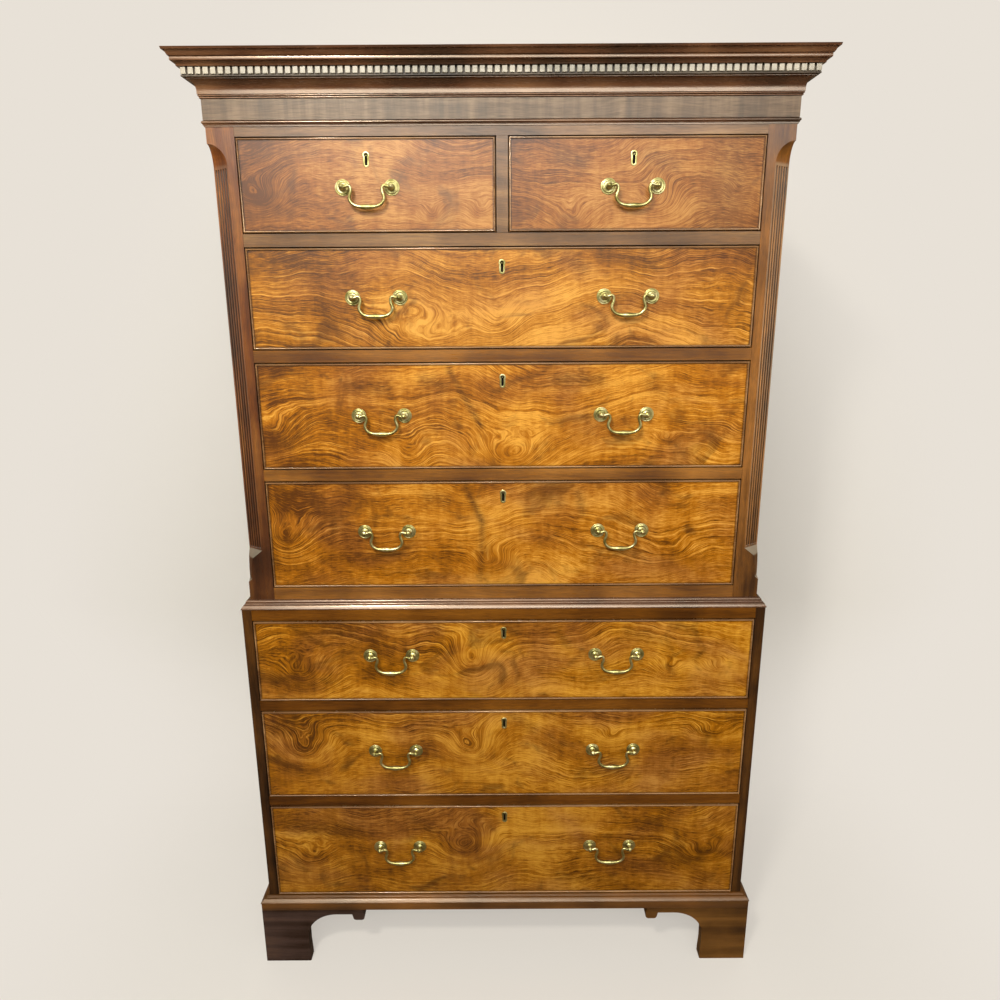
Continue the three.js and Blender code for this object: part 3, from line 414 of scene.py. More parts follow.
# Dentils: small blocks planted on one strip under the crown, 8.6 mm wide and 3.7 mm
# apart, their edges worn round. They stand in the brightest light and gleam. The teeth are
# painted pale grey as a painted highlight of that sheen, and the strip behind and below
# them is painted dark as the shade between them.
def solid_blocks(spans):
    """Vertices and quads of many boxes at once: spans are rows of low and high corners."""
    spans = np.asarray(spans, dtype=float)
    low, high = spans[:, None, :3], spans[:, None, 3:]
    pick = [[0, 0, 0], [1, 0, 0], [1, 1, 0], [0, 1, 0], [0, 0, 1], [1, 0, 1], [1, 1, 1], [0, 1, 1]]
    quads = [[0, 3, 2, 1], [4, 5, 6, 7], [0, 1, 5, 4], [1, 2, 6, 5], [2, 3, 7, 6], [3, 0, 4, 7]]
    points = low + (high - low) * np.array(pick)[None]
    faces = np.array(quads)[None] + 8 * np.arange(len(spans))[:, None, None]
    return points.reshape(-1, 3), faces.reshape(-1, 4)


def joined_mesh(parts):
    """One mesh of several closed solids, each given as points in millimetres and faces."""
    points, faces, offset = [], [], 0
    for part_points, part_faces in parts:
        points.append(part_points)
        faces += [[int(i) + offset for i in face] for face in part_faces]
        offset += len(part_points)
    mesh = bpy.data.meshes.new("solids")
    mesh.from_pydata((np.concatenate(points) * mm).tolist(), [], faces)
    return mesh


# Pale grey teeth: a painted highlight of the sheen they catch.
dentil_painted_sheen = polished_mahogany(
    "dentil_mahogany", "#76705F", "#989080", "#B0A896", roughness=0.32, gloss=0.4, coat=0.3,
    streaks=0.3,
)
# The dark strip behind and below the teeth: painted shade.
dentil_ground_painted_shade = polished_mahogany(
    "dentil_ground_mahogany", "#2A2218", "#463A2C", "#605444", roughness=0.4, gloss=0.3,
    streaks=0.4,
)
strip_outline = [
    (18.8, 1787.7), (23.9, 1787.7), (23.9, 1789.6), (21.4, 1790.2), (21.4, 1801.4), (18.8, 1801.4),
]
carried_round("dentil_strip", strip_outline, True, dentil_ground_painted_shade, "dentil_band")
tooth_half, tooth_foot, tooth_top = 4.3, 1790.4, 1801.3
tooth_near, tooth_far = 20.0, 26.3
tooth_pitch = 1045.4 / 85
middles = np.linspace(-522.7, 522.7, 86)
left, right = middles - tooth_half, middles + tooth_half
front, back = upper_front - tooth_far, upper_front - tooth_near
teeth = [np.stack(np.broadcast_arrays(left, front, tooth_foot, right, back, tooth_top), axis=1)]
middles = upper_front - tooth_far + tooth_half + tooth_pitch * np.arange(1, 42)
front, back = middles - tooth_half, middles + tooth_half
for facing in (-1, 1):
    left, right = sorted(facing * (upper_half + reach) for reach in (tooth_near, tooth_far))
    spans = np.broadcast_arrays(left, front, tooth_foot, right, back, tooth_top)
    teeth.append(np.stack(spans, axis=1))
teeth = joined_mesh([solid_blocks(np.concatenate(teeth))])
teeth = piece("dentil_teeth", teeth, dentil_painted_sheen, "upper_chest", smooth=False)
worn_edges = teeth.modifiers.new("worn_edges", "BEVEL")
worn_edges.width = 0.7 * mm
worn_edges.segments = 2


# Feet: bracket feet sawn from one board with a cut-out arch and a small square drop,
# mitred at the front corners over a glue block. They are nearly black, partly grime from
# the floor and partly painted shade near it, and the left pair is painted darker still as
# shade.
foot_top = 135.7
board = 22


def bracket_outline(turn):
    """The sawn outline from the corner inwards: sole, leg that widens to the sole, a
    quarter ellipse 64 mm wide and 56 mm high, a level ridge and the round-ended drop.
    turn is 1 or -1, the way it runs along its axis."""
    arch, drop = 124.2, 109.2
    bend = np.linspace(0, math.pi / 2, 15)
    bend = np.stack([98 + 64 * (1 - np.cos(bend)), arch - 56 * (1 - np.sin(bend))], axis=1)
    small = np.linspace(0, math.pi / 2, 7)
    left_round = np.stack([206 - 7 * np.cos(small), drop + 7 - 7 * np.sin(small)], axis=1)
    right_round = np.stack([217 + 7 * np.sin(small), drop + 7 - 7 * np.cos(small)], axis=1)
    leg = [(0, 0), (96.5, 0), (98.9, 0.9), (99.7, 3), (99.4, 14), (97.8, 44)]
    end = [(224, arch), (221, 130), (221, foot_top), (0, foot_top)]
    points = np.concatenate([leg, bend, [(197, arch)], left_round, right_round, end])
    return points * (turn, 1)


def sawn_board(outline, axis, start, thickness, origin=0, mitred=False):
    """A board cut to an outline of (along, height), carried across its thickness along
    axis 0 or 1 from its outer face at start; the outline runs along the other axis from
    origin. A mitred one is as much shorter at the corner on its inner face as it is thick."""
    count = len(outline)
    points = np.zeros((2, count, 3))
    points[:, :, 2] = outline[:, 1]
    points[:, :, 1 - axis] = origin + outline[:, 0]
    points[0, :, axis] = start
    points[1, :, axis] = start + thickness
    if mitred:
        points[1, [0, -1], 1 - axis] += np.sign(outline[1, 0]) * abs(thickness)
    faces = [tuple(range(count)), tuple(range(count, 2 * count))]
    faces += [(i, (i + 1) % count, (i + 1) % count + count, i + count) for i in range(count)]
    return points.reshape(-1, 3), faces


# The left feet are a darker copy of the right ones: painted shade.
for side_name, facing, colours in (
    ("left", -1, ("#281A12", "#40302A", "#543E32")),
    ("right", 1, ("#34200E", "#563816", "#6E4A20")),
):
    foot_wood = polished_mahogany(f"{side_name}_foot_mahogany", *colours, gloss=0.12, streaks=0.4)
    outer, front = facing * (lower_half + 15), lower_front - 15
    block_left, block_right = sorted((outer - facing * board, outer - facing * 68))
    brace = np.array([(0, foot_top), (75.5, foot_top), (75.5, 89.7), (24, 0), (0, 0)])
    front_parts = [
        sawn_board(bracket_outline(1), 0, outer, -board * facing, front, True),
        sawn_board(bracket_outline(-facing), 1, front, board, outer, True),
        solid_blocks([[block_left, front + board, 0, block_right, front + 68, foot_top]]),
    ]
    rear_parts = [
        sawn_board(bracket_outline(-1), 0, outer, -board * facing, rear),
        sawn_board(brace * (-facing, 1), 1, rear - 60, board, outer - facing * board),
        solid_blocks([[block_left, rear - 38, 0, block_right, rear, foot_top]]),
    ]
    for end_name, parts in (("front", front_parts), ("rear", rear_parts)):
        name = f"{end_name}_{side_name}_bracket_foot"
        replaced = [f"{end_name}_{side_name}_foot"]
        piece(name, joined_mesh(parts), foot_wood, "lower_chest", replaced, crease=30)


# Corner posts: square mahogany posts with the outer corner planed off, worked with
# five round-ended flutes, a cove above them and a long tongue that dies out below.
flute_foot, flute_head, cove_top = 957.3, 1653.6, 1689.6


def cant_shares(height):
    """Shares of the full cant, across the front and back along the side, at a height:
    nothing at the square ends, and a quarter circle out of the top stop. At the foot a
    sloping ledge, a hollow tongue that draws out, and a steep facet that meets the
    flutes; the tongue goes deeper into the side than into the front."""
    from_top = np.clip((cove_top - height) / 36.0, 0, 1)
    top = np.sqrt(1 - (1 - from_top) ** 2)
    places = [892.3, 898.0, 920.0, 941.0, flute_foot]
    across = np.interp(height, places, [0, 0.22, 0.25, 0.36, 1.0])
    back = np.interp(height, places, [0, 0.45, 0.50, 0.64, 1.0])
    return np.minimum(top, across), np.minimum(top, back)


def corner_post(facing):
    """The post's skin over heights (rows) and round its section (columns), with how deep
    in a hollow each point lies and how much pale grey it takes. The upward facets take it,
    partly dusting and mostly painted highlight. The arrises between the flutes take it too,
    as a painted highlight that is stronger on the right post. Each flute sinks by a circle's
    arc across it, and closes in a half circle at its ends."""
    ends = np.array([2.3, 2.6, 3.2, 4.0, 4.8])
    heights = np.concatenate(
        [
            [838.3, 892.3, 893.2, 897.6, 898.0], np.linspace(902, 941, 9),
            [943, 947, 951, 955, 956.6, flute_foot], flute_foot + ends,
            np.linspace(970, 1645, 12), flute_head - ends[::-1],
            cove_top - 36 * np.linspace(1, 0, 16) ** 2, [1689.62, 1799.6],
        ]
    )
    rows = len(heights)
    z = heights[:, None]
    front_leg, side_leg, square = 32.0, 23.0, 48
    width = math.hypot(front_leg, side_leg)
    shares = [np.maximum(share, 0.002)[:, None] for share in cant_shares(heights)]
    radius = 2.35
    middles = width / 2 + 7.0 * (np.arange(5) - 2)
    arc = radius * np.sin(np.linspace(-1, 1, 17) * math.pi / 2)
    across = np.concatenate([[0], *(middle + arc for middle in middles), [width]])[None, :]
    past = np.maximum(flute_foot + 2.3 + radius - z, z - (flute_head - 2.3 - radius))
    half = np.sqrt(np.clip(radius**2 - np.clip(past, 0, None) ** 2, 0, None))
    nearest = np.abs(across[..., None] - middles).min(axis=-1)
    depth = np.sqrt(np.clip(half**2 - nearest**2, 0, None))
    s = across / width
    inward = front_leg * shares[0] * s + depth * side_leg / width
    backward = side_leg * shares[1] * (1 - s) + depth * front_leg / width
    cant = np.stack([inward, backward, np.broadcast_to(z, inward.shape)], axis=2)
    inner, side, front = [
        np.stack(np.broadcast_arrays(u, v, heights), axis=1)[:, None]
        for u, v in ((square, square), (0, square), (square, 0))
    ]
    side_edge = cant[:, :1] * (0, 1, 1) + (0, 0.05, 0)
    front_edge = cant[:, -1:] * (1, 0, 1) + (0.05, 0, 0)
    points = np.concatenate([inner, side, side_edge, cant, front_edge, front], axis=1)
    points[..., 0] = facing * (upper_half - points[..., 0])
    points[..., 1] += upper_front
    before, after = np.zeros((rows, 3)), np.zeros((rows, 2))
    # Flat parts count as a little hollow and the arrises as none. The material therefore paints the
    # flutes darker as painted shade and the arrises lighter as painted highlight.
    flat = 0.28
    hollow = np.concatenate([before + flat, depth / radius, after + flat], axis=1)
    hollow[heights < 959] = flat
    # Upward facets take the pale grey: partly dusting, mostly painted highlight of the light from above.
    facets = [892.0, 893.0, 897.8, 898.2, 940.9, 943.0, 956.5, 957.5]
    dusty = np.interp(heights, facets, [0, 1, 1, 0, 0, 1, 1, 0])[:, None]
    # Painted highlight on the arrises between the flutes, stronger on the right post.
    pale = 0.12 if facing < 0 else 0.36
    rubbed = (pale * np.interp(heights, [958, 959, 1250, 1654, 1655], [0, 0.3, 1, 1, 0]))[:, None]
    dust = np.concatenate([before, np.maximum(dusty, rubbed) * (depth < 0.01), after], axis=1)
    return points, hollow, dust


def mark_points(mesh, **values):
    """Writes a number on each point of a mesh, under each name."""
    for name, numbers in values.items():
        held = mesh.attributes.new(name, "FLOAT", "POINT")
        held.data.foreach_set("value", numbers.ravel().astype(np.float32))


# The left post is a darker copy of the right one. It has more painted shade towards the floor and
# fainter painted highlights on its arrises: painted shade and highlight by side.
for side_name, facing, colours, gloss, coat, grime_and_shade in (
    ("left", -1, ("#341A0A", "#5C3214", "#825224"), 0.46, 0.12, 0.5),
    ("right", 1, ("#3A2008", "#684014", "#92602A"), 0.42, 0.15, 0.25),
):
    wood_name, name = f"{side_name}_post_mahogany", f"{side_name}_fluted_post"
    post_wood = polished_mahogany(wood_name, *colours, "Z", gloss=gloss, coat=coat, grime_and_shade=grime_and_shade)
    skin, hollow, dust = corner_post(facing)
    mesh = sheet_of(skin, wrap_columns=True, caps=True)
    mark_points(mesh, hollow=hollow, dust=dust)
    replaced = [f"{side_name}_corner_post"]
    piece(name, mesh, post_wood, "upper_chest", replaced, crease=14)


# Drawer fronts: plum-pudding mahogany veneer laid on a thick ground, one flitch cut in
# sequence, so that the same eyes and waves come again from row to row. A cock bead of
# plain mahogany stands round each.
def grown_figure(x, z, left, width, foot, height, seed, eyes):
    """How far out in the log each point of the veneer lies, in millimetres: the height,
    bent by long and short waves, with a hill for each eye. Its contours are the grain."""
    rng = np.random.default_rng(seed)
    depth = z.astype(float)
    waves = ((620.0, 16.0), (330.0, 9.5), (180.0, 4.4), (95.0, 1.6), (48.0, 0.7), (27.0, 0.35))
    for length, rise in waves:
        slant = rng.uniform(-1.4, 1.4)
        turn = rng.uniform(0, 2 * math.pi)
        depth += rise * np.sin(2 * math.pi * (x + slant * z) / length + turn)
    for share_x, share_z, spread_x, spread_z, hill in eyes:
        from_x = (x - left - share_x * width) / spread_x
        from_z = (z - foot - share_z * height) / spread_z
        depth += hill * np.exp(-(from_x**2) - from_z**2)
    return depth


plate, front_thick = 5, 22
lock_half_x, lock_half_z, pin_height = 10.0, 17.5, 5.4


def keyhole_line(grow, count=64):
    """A keyhole's outline, grown by so many millimetres: a round bow of 3.4 mm over a
    straight skirt 4.8 mm wide with a round foot, as points spaced evenly along it."""
    bow, skirt = 3.4 + grow, 2.4 + grow
    reach = math.asin(skirt / bow)
    top = np.linspace(-math.pi / 2 + reach, 3 * math.pi / 2 - reach, 60)
    foot = np.linspace(math.pi, 2 * math.pi, 24)
    top = np.stack([bow * np.cos(top), pin_height + bow * np.sin(top)], axis=1)
    foot = np.stack([skirt * np.cos(foot), -8.8 + skirt * np.sin(foot)], axis=1)
    path = np.concatenate([top, foot, top[:1]])
    run = np.concatenate([[0], np.cumsum(np.linalg.norm(np.diff(path, axis=0), axis=1))])
    start = np.argmin(path[:, 1])
    at = (run[start] + np.arange(count) / count * run[-1]) % run[-1]
    return np.stack([np.interp(at, run, path[:, 0]), np.interp(at, run, path[:, 1])], axis=1)


def grid_places(low, middle, half, high, steps):
    """Places about 4 mm apart from low to high, with so many steps over a window round
    the middle."""
    before = np.linspace(low, middle - half, round((middle - half - low) / 4) + 1)[:-1]
    within = np.linspace(middle - half, middle + half, steps + 1)
    after = np.linspace(middle + half, high, round((high - middle - half) / 4) + 1)[1:]
    return np.concatenate([before, within, after])


def veneered_face(left, right, foot, top, face_y, key_x, key_z, seed, eyes, smudges):
    """The face: a 5 mm plate with a grid of 4 mm over its front that leaves a window
    round the keyhole, filled by a band from the window's edge to the keyhole. Each point
    carries how far out in the log it lies, how far it is from the bead, how light it is,
    and how much of a smudge lies on it. Light falls off towards the ends, rises round an
    eye and sinks in its core; smudges fade with the distance from a line between two
    places."""
    across = grid_places(left, key_x, lock_half_x, right, 8)
    up = grid_places(foot, key_z, lock_half_z, top, 12)
    columns, rows = len(across), len(up)
    index = np.arange(rows * columns).reshape(rows, columns)
    w0 = int(np.searchsorted(across, key_x - lock_half_x - 0.01))
    h0 = int(np.searchsorted(up, key_z - lock_half_z - 0.01))
    w1, h1 = w0 + 8, h0 + 12
    quads = np.stack([index[:-1, :-1], index[:-1, 1:], index[1:, 1:], index[1:, :-1]], axis=2)
    kept = np.ones(quads.shape[:2], dtype=bool)
    kept[h0:h1, w0:w1] = False
    faces = quads[kept].tolist()
    window = [index[h0, w0 + 4 : w1], index[h0:h1, w1], index[h1, w1:w0:-1]]
    window = np.concatenate([*window, index[h1:h0:-1, w0], index[h0, w0 : w0 + 4]])
    border = np.concatenate([index[0, :-1], index[:-1, -1], index[-1, :0:-1], index[:0:-1, 0]])
    x, z = np.meshgrid(across, up)
    front = np.stack([x.ravel(), np.full(x.size, face_y), z.ravel()], axis=1)
    hole = keyhole_line(0.7, len(window))
    rim = np.stack([key_x + hole[:, 0], np.full(len(hole), face_y), key_z + hole[:, 1]], axis=1)
    inward = (0, plate, 0)
    parts = [front, rim, rim + inward, front[border] + inward, front[window] + inward]
    points = np.concatenate(parts)
    starts = np.cumsum([len(part) for part in parts])
    rim_at, rim_back, border_back, window_back = (
        start + np.arange(len(part)) for start, part in zip(starts, parts[1:])
    )
    pairs = ((window, rim_at), (rim_at, rim_back), (rim_back, window_back), (border, border_back))
    for a, b in pairs:
        faces += np.stack([a, np.roll(a, -1), np.roll(b, -1), b], axis=1).tolist()
    # The back is a plain ring of four boards round the window, joined to the border.
    closed = np.append(border_back, border_back[0])
    ends = [0, columns - 1, columns + rows - 2, 2 * columns + rows - 3, len(border)]
    inner_ends = ((36, 44), (4, 16), (16, 24), (24, 36))
    for low, high, (a, b) in zip(ends, ends[1:], inner_ends):
        inner = window_back[np.arange(a, b + 1) % len(window)]
        faces.append(closed[low : high + 1].tolist() + inner[::-1].tolist())
    mesh = bpy.data.meshes.new("face")
    mesh.from_pydata((points * mm).tolist(), [], faces)

    x, z = points[:, 0], points[:, 2]
    width, height = right - left, top - foot
    figure = grown_figure(x, z, left, width, foot, height, seed, eyes)
    from_bead = np.minimum.reduce([x - left, right - x, z - foot, top - z])
    share, up_share = (x - left) / width, (z - foot) / height
    left_dark = np.interp(foot, [165, 880], [0.0, 0.15])
    shade = 0.5 - left_dark * np.exp(-(((share - 0.02) / 0.22) ** 2))
    shade += 0.05 * np.sin(3.3 * share - 0.4)
    shade -= 0.05 * np.exp(-(((share - 1.0) / 0.1) ** 2)) + 0.06 * (up_share - 0.5)
    for share_x, share_z, spread_x, spread_z, hill in eyes:
        from_x = (share - share_x) * width / (spread_x * 1.3)
        from_z = (up_share - share_z) * height / (spread_z * 1.5)
        near = from_x**2 + from_z**2
        shade += 0.05 * np.exp(-near) - 0.16 * np.exp(-7 * near)
    smoke = np.zeros(len(points))
    for start_x, start_z, end_x, end_z, wide, strength in smudges:
        start = np.array([left + start_x * width, foot + start_z * height])
        run = np.array([left + end_x * width, foot + end_z * height]) - start
        away = points[:, [0, 2]] - start
        at = np.clip(away @ run / max(run @ run, 1.0), 0, 1)
        apart = np.linalg.norm(away - at[:, None] * run, axis=1)
        smoke = np.maximum(smoke, strength * np.exp(-((apart / wide) ** 2)))
    mark_points(mesh, smoke=smoke, figure=figure, shade=shade, from_bead=from_bead)
    return mesh


def figured_veneer(name, dark, middle, light, smoke, seed):
    """Sawn plum-pudding mahogany, scraped, oiled and waxed. The figure attribute is read
    as a length in the log: 1D noise along it makes bands about 30 mm and lines about 7 mm
    wide, with thin pale lines and a few dark ones where the noise crosses its middle. Fibres
    30 mm by 1.7 mm follow the same contours, a ripple crosses them every 12 mm, and smoky
    patches lie over all. The lower rows are painted darker, as shade of the light falling
    off downwards, and the face is painted darker within 3 mm of the bead, as shade in the
    corner against it. The lower rows are also drier, and the wax is thin on the right."""
    made, put, spot = new_material(name)
    place = put("SeparateXYZ", [spot]).outputs
    figure = put("Attribute", attribute_name="figure").outputs["Fac"]
    ragged = put("TexNoise", {"Vector": spot, "Scale": 26.0, "Detail": 3.0})
    log = put("Math", [ragged, 5.0, figure], operation="MULTIPLY_ADD")
    along_log = []
    for length, coarse in ((42.0, 0.5), (6.0, 0.6), (10.0, 0.6), (13.0, 0.55)):
        at = put("Math", [log, length], operation="DIVIDE")
        noise = {"W": at, "Scale": 1.0, "Detail": 2.0, "Roughness": coarse}
        along_log.append(put("TexNoise", noise, noise_dimensions="1D"))
    bands, fine_lines, ridges, lines = along_log
    ridge_greys = (
        (0.42, 0.44), (0.47, 0.4), (0.485, 0.5), (0.5, 1.0), (0.515, 0.5), (0.53, 0.4), (0.58, 0.44),
    )
    line_greys = (
        (0.4, 0.5), (0.445, 0.42), (0.468, 0.12), (0.488, 0.2), (0.502, 1.0), (0.528, 0.9), (0.56, 0.55),
    )
    ridges, lines = (
        put("ValToRGB", [noise], [(at, (grey, grey, grey, 1.0)) for at, grey in greys])
        for noise, greys in ((ridges, ridge_greys), (lines, line_greys))
    )
    fibre_x = put("Math", [place["X"], 55.0], operation="MULTIPLY")
    fibre_log = put("Math", [log, 0.6], operation="MULTIPLY")
    fibre_at = put("CombineXYZ", [fibre_x, fibre_log, seed])
    fibre = put("TexNoise", {"Vector": fibre_at, "Scale": 1.0, "Detail": 3.0, "Roughness": 0.7})
    clouds = []
    for scale, location, detail, coarse, distortion in (
        ((85, 85, 14), (seed, 0, 0), 3.0, 0.6, 0.0),
        ((5, 5, 9), (seed, seed, 0), 4.0, 0.55, 0.8),
        ((5, 5, 9), (3, seed, seed), 3.0, 0.5, 0.6),
        ((11, 11, 15), (seed, 2, seed), 4.0, 0.55, 1.0),
    ):
        at = put("Mapping", {"Vector": spot, "Scale": scale, "Location": location})
        noise = {"Vector": at, "Scale": 1.0, "Detail": detail, "Roughness": coarse}
        clouds.append(put("TexNoise", {**noise, "Distortion": distortion}))
    ripple, zones, dull_share, cloud = clouds
    clear = put("TexNoise", {"Vector": spot, "Scale": 9.0, "Detail": 2.0})
    clear = put("MapRange", [clear, 0.38, 0.62, 0.3, 1.2])
    total = put("Attribute", attribute_name="shade").outputs["Fac"]
    for part, weight, faded in (
        (bands, 0.38, False), (fine_lines, 0.42, True), (lines, 0.28, True), (ridges, 0.44, True),
        (fibre, 1.15, False), (ripple, 0.3, False), (zones, 0.95, False),
    ):
        from_middle = put("Math", [part, 0.5], operation="SUBTRACT")
        if faded:
            from_middle = put("Math", [from_middle, clear], operation="MULTIPLY")
        total = put("Math", [from_middle, weight, total], operation="MULTIPLY_ADD")
    wood, dull = (
        put("ValToRGB", [total], [(at, tone(c)) for at, c in zip((0.2, 0.5, 0.82), colours)])
        for colours in ((dark, middle, light), ("#4E2A10", "#86501E", "#B67C3E"))
    )
    dull_share = put("MapRange", [dull_share, 0.44, 0.64, 0.0, 0.68])
    wood = put("Mix", {"Factor": dull_share, "A": wood, "B": dull}, data_type="RGBA")
    cloud = put("MapRange", [cloud, 0.54, 0.72, 0.0, 0.62], interpolation_type="SMOOTHSTEP")
    smudge = put("Attribute", attribute_name="smoke").outputs["Fac"]
    streaky = put("MapRange", [fibre, 0.35, 0.62, 1.15, 0.4])
    smudge = put("Math", [smudge, streaky], operation="MULTIPLY")
    cloud = put("Math", [cloud, smudge], operation="MAXIMUM", use_clamp=True)
    smoked = {"Factor": cloud, "A": wood.outputs["Result"], "B": tone(smoke)}
    smoked = put("Mix", smoked, data_type="RGBA").outputs["Result"]
    # Painted shade: darker within 3 mm of the bead, in the corner against it, and darker towards the
    # floor as the light falls off.
    edge = put("Attribute", attribute_name="from_bead").outputs["Fac"]
    edge = put("MapRange", [edge, 0.0, 3.0, 0.3, 1.0])
    painted_falloff = put("MapRange", [place["Z"], 0.15, 1.3, 0.62, 0.98])
    kept = put("Math", [edge, painted_falloff], operation="MULTIPLY")
    painted_shade_veneer = put("VectorMath", {0: smoked, "Scale": kept}, operation="SCALE")
    waxed = put("MapRange", [place["Z"], 0.9, 1.6, 0.1, 0.48])
    right_worn = put("MapRange", [place["X"], -0.1, 0.45, 1.05, 0.6])
    waxed = put("Math", [waxed, right_worn], operation="MULTIPLY")
    rough = put("MapRange", [fibre, 0.3, 0.7, 0.44, 0.32])
    bump = put("Bump", {"Height": fibre, "Strength": 0.12, "Distance": 0.0005})
    shader = {
        "Base Color": painted_shade_veneer, "Roughness": rough, "IOR": 1.5, "Specular IOR Level": waxed,
        "Normal": bump,
    }
    put("OutputMaterial", [put("BsdfPrincipled", shader)])
    return made


# Brass: cast yellow brass, filed, polished and lacquered, now aged olive in the hollows
# and rubbed bright where hands take hold. The lock behind each keyhole is rusty iron.
aged_brass, put, spot = new_material("aged_cast_brass")
blotch = put("TexNoise", {"Vector": spot, "Scale": 70.0, "Detail": 3.0})
olive = [(0.34, tone("#86804A")), (0.5, tone("#B4AE74")), (0.66, tone("#D8D2A0"))]
worn = put("ValToRGB", [blotch], olive)
rough = put("MapRange", [blotch, 0.3, 0.7, 0.46, 0.32])
pits = put("TexNoise", {"Vector": spot, "Scale": 600.0, "Detail": 3.0})
dents = put("Bump", {"Height": pits, "Strength": 0.05, "Distance": 0.0003})
shader = {"Base Color": worn, "Metallic": 1.0, "Roughness": rough, "Normal": dents}
put("OutputMaterial", [put("BsdfPrincipled", shader)])

lock_iron, put, spot = new_material("lock_iron")
rust = put("TexNoise", {"Vector": spot, "Scale": 240.0, "Detail": 4.0})
iron = put("ValToRGB", [rust], [(0.4, tone("#17130F")), (0.7, tone("#3A2F26"))])
shader = {"Base Color": iron, "Metallic": 0.6, "Roughness": 0.6}
put("OutputMaterial", [put("BsdfPrincipled", shader)])


def turned(profile, x, face_y, z, steps=40):
    """A surface of revolution about a line along Y: profile is (radius, distance out of
    the front)."""
    radius, out = np.asarray(profile, dtype=float).T[:, :, None]
    turn = np.linspace(0, 2 * math.pi, steps, endpoint=False)
    circles = np.broadcast_arrays(x + radius * np.cos(turn), face_y - out, z + radius * np.sin(turn))
    return np.stack(circles, axis=2)


rose_profile = [
    (13.75, -1.2), (13.75, 0.7), (13.3, 1.25), (12.5, 1.45), (11.9, 1.2), (11.5, 0.95),
    (11.0, 1.15), (10.7, 1.9), (10.1, 2.35), (9.2, 2.35), (8.2, 2.0), (7.0, 1.8), (6.0, 2.1),
    (5.4, 2.9), (4.7, 3.3), (4.0, 3.7), (3.5, 4.6), (3.2, 6.0), (3.2, 7.4), (3.6, 8.2), (4.4, 9.0),
    (4.9, 10.4), (5.05, 12.4), (4.8, 14.2), (4.1, 15.4), (3.2, 15.9), (2.5, 16.1), (2.25, 16.5),
    (2.1, 17.2), (1.5, 17.8), (0.05, 18.0),
]
bail_line = np.array(
    [
        (39.6, 0.0), (37.6, 0.0), (35.2, 0.5), (32.8, 1.5), (30.4, 1.6), (28.3, 0.1), (27.1, -3.0),
        (27.0, -6.6), (27.9, -10.4), (29.4, -14.5), (30.0, -18.5), (29.0, -22.6), (26.2, -26.6),
        (22.2, -29.6), (17.0, -31.6), (9.0, -32.8), (0.0, -33.0),
    ]
)
liner_section = [
    (-0.4, -4.6), (-0.4, 0.1), (-0.1, 0.4), (0.4, 0.5), (1.9, 0.5), (2.5, 0.35), (2.8, 0.0),
    (2.8, -0.6), (0.72, -0.6), (0.72, -4.6),
]
pin_profile = [(0.05, -13.2), (1.1, -13.2), (1.1, -1.8), (0.8, -1.5), (0.05, -1.5)]


def smooth_line(points, per_span):
    """A curve through points whose direction at each is that of its two neighbours
    (a Catmull-Rom spline), with so many steps to a span."""
    ends = np.concatenate([[2 * points[0] - points[1]], points, [2 * points[-1] - points[-2]]])
    a, b, c, d = (p[:, None] for p in (ends[:-3], ends[1:-2], ends[2:-1], ends[3:]))
    t = (np.arange(per_span) / per_span)[None, :, None]
    curve = 0.5 * (
        2 * b + (c - a) * t + (2 * a - 5 * b + 4 * c - d) * t**2 + (3 * b - a - 3 * c + d) * t**3
    )
    return np.concatenate([curve.reshape(-1, points.shape[1]), points[-1:]])


def swan_neck_bail(x, pivot_y, z):
    """A round bar along the bail's line from the right post to the left, thick in the
    grip with a slight swelling in each neck: circles in the plane of the line's normal
    and the Y axis."""
    half = smooth_line(bail_line, 5)
    line = np.concatenate([half, (half[:-1] * (-1, 1))[::-1]])
    along = np.gradient(line, axis=0)
    along /= np.linalg.norm(along, axis=1)[:, None]
    normal = np.stack([-along[:, 1], along[:, 0]], axis=1)
    grip = np.where(line[:, 1] < -26, np.abs(line[:, 0]), 60.0)
    neck = (line[:, 1] + 18) / 9.0
    radius = 2.7 + 2.0 * np.exp(-((grip / 12.0) ** 2)) + 0.2 * np.exp(-(neck**2))
    turn = np.linspace(0, 2 * math.pi, 16, endpoint=False)
    circle = radius[:, None, None] * normal[:, None] * np.cos(turn)[:, None]
    bar_x, bar_z = np.moveaxis(line[:, None] + circle, 2, 0)
    return np.stack([x + bar_x, pivot_y + radius[:, None] * np.sin(turn), z + bar_z], axis=2)


def front_core(left, right, foot, top, face_y, key_x, key_z):
    """The ground behind the veneer: four boards round the lock, and at each end a block
    with the three sockets that the drawer side's tails fill."""
    end, between, socket, slack = 10.65, 7, 15, 0.35
    near, far = face_y + plate, face_y + front_thick
    low_x, high_x = key_x - lock_half_x, key_x + lock_half_x
    boards = [
        [left + end, near, foot, low_x, far, top],
        [high_x, near, foot, right - end, far, top],
        [low_x, near, foot, high_x, far, key_z - lock_half_z],
        [low_x, near, key_z + lock_half_z, high_x, far, top],
    ]
    tail_foot = foot + 4
    span = (top - 12 - tail_foot - 4 * between) / 3
    tip = far - socket - slack
    outline = [(near, foot), (far, foot)]
    for i in range(3):
        low = tail_foot + between + i * (span + between)
        high = low + span
        outline += [(far, low + 2.6), (tip, low - slack), (tip, high + slack), (far, high - 2.6)]
    outline = np.array([*outline, (far, top), (near, top)])
    return [solid_blocks(boards), *(sawn_board(outline, 0, at, end) for at in (left, right - end))]


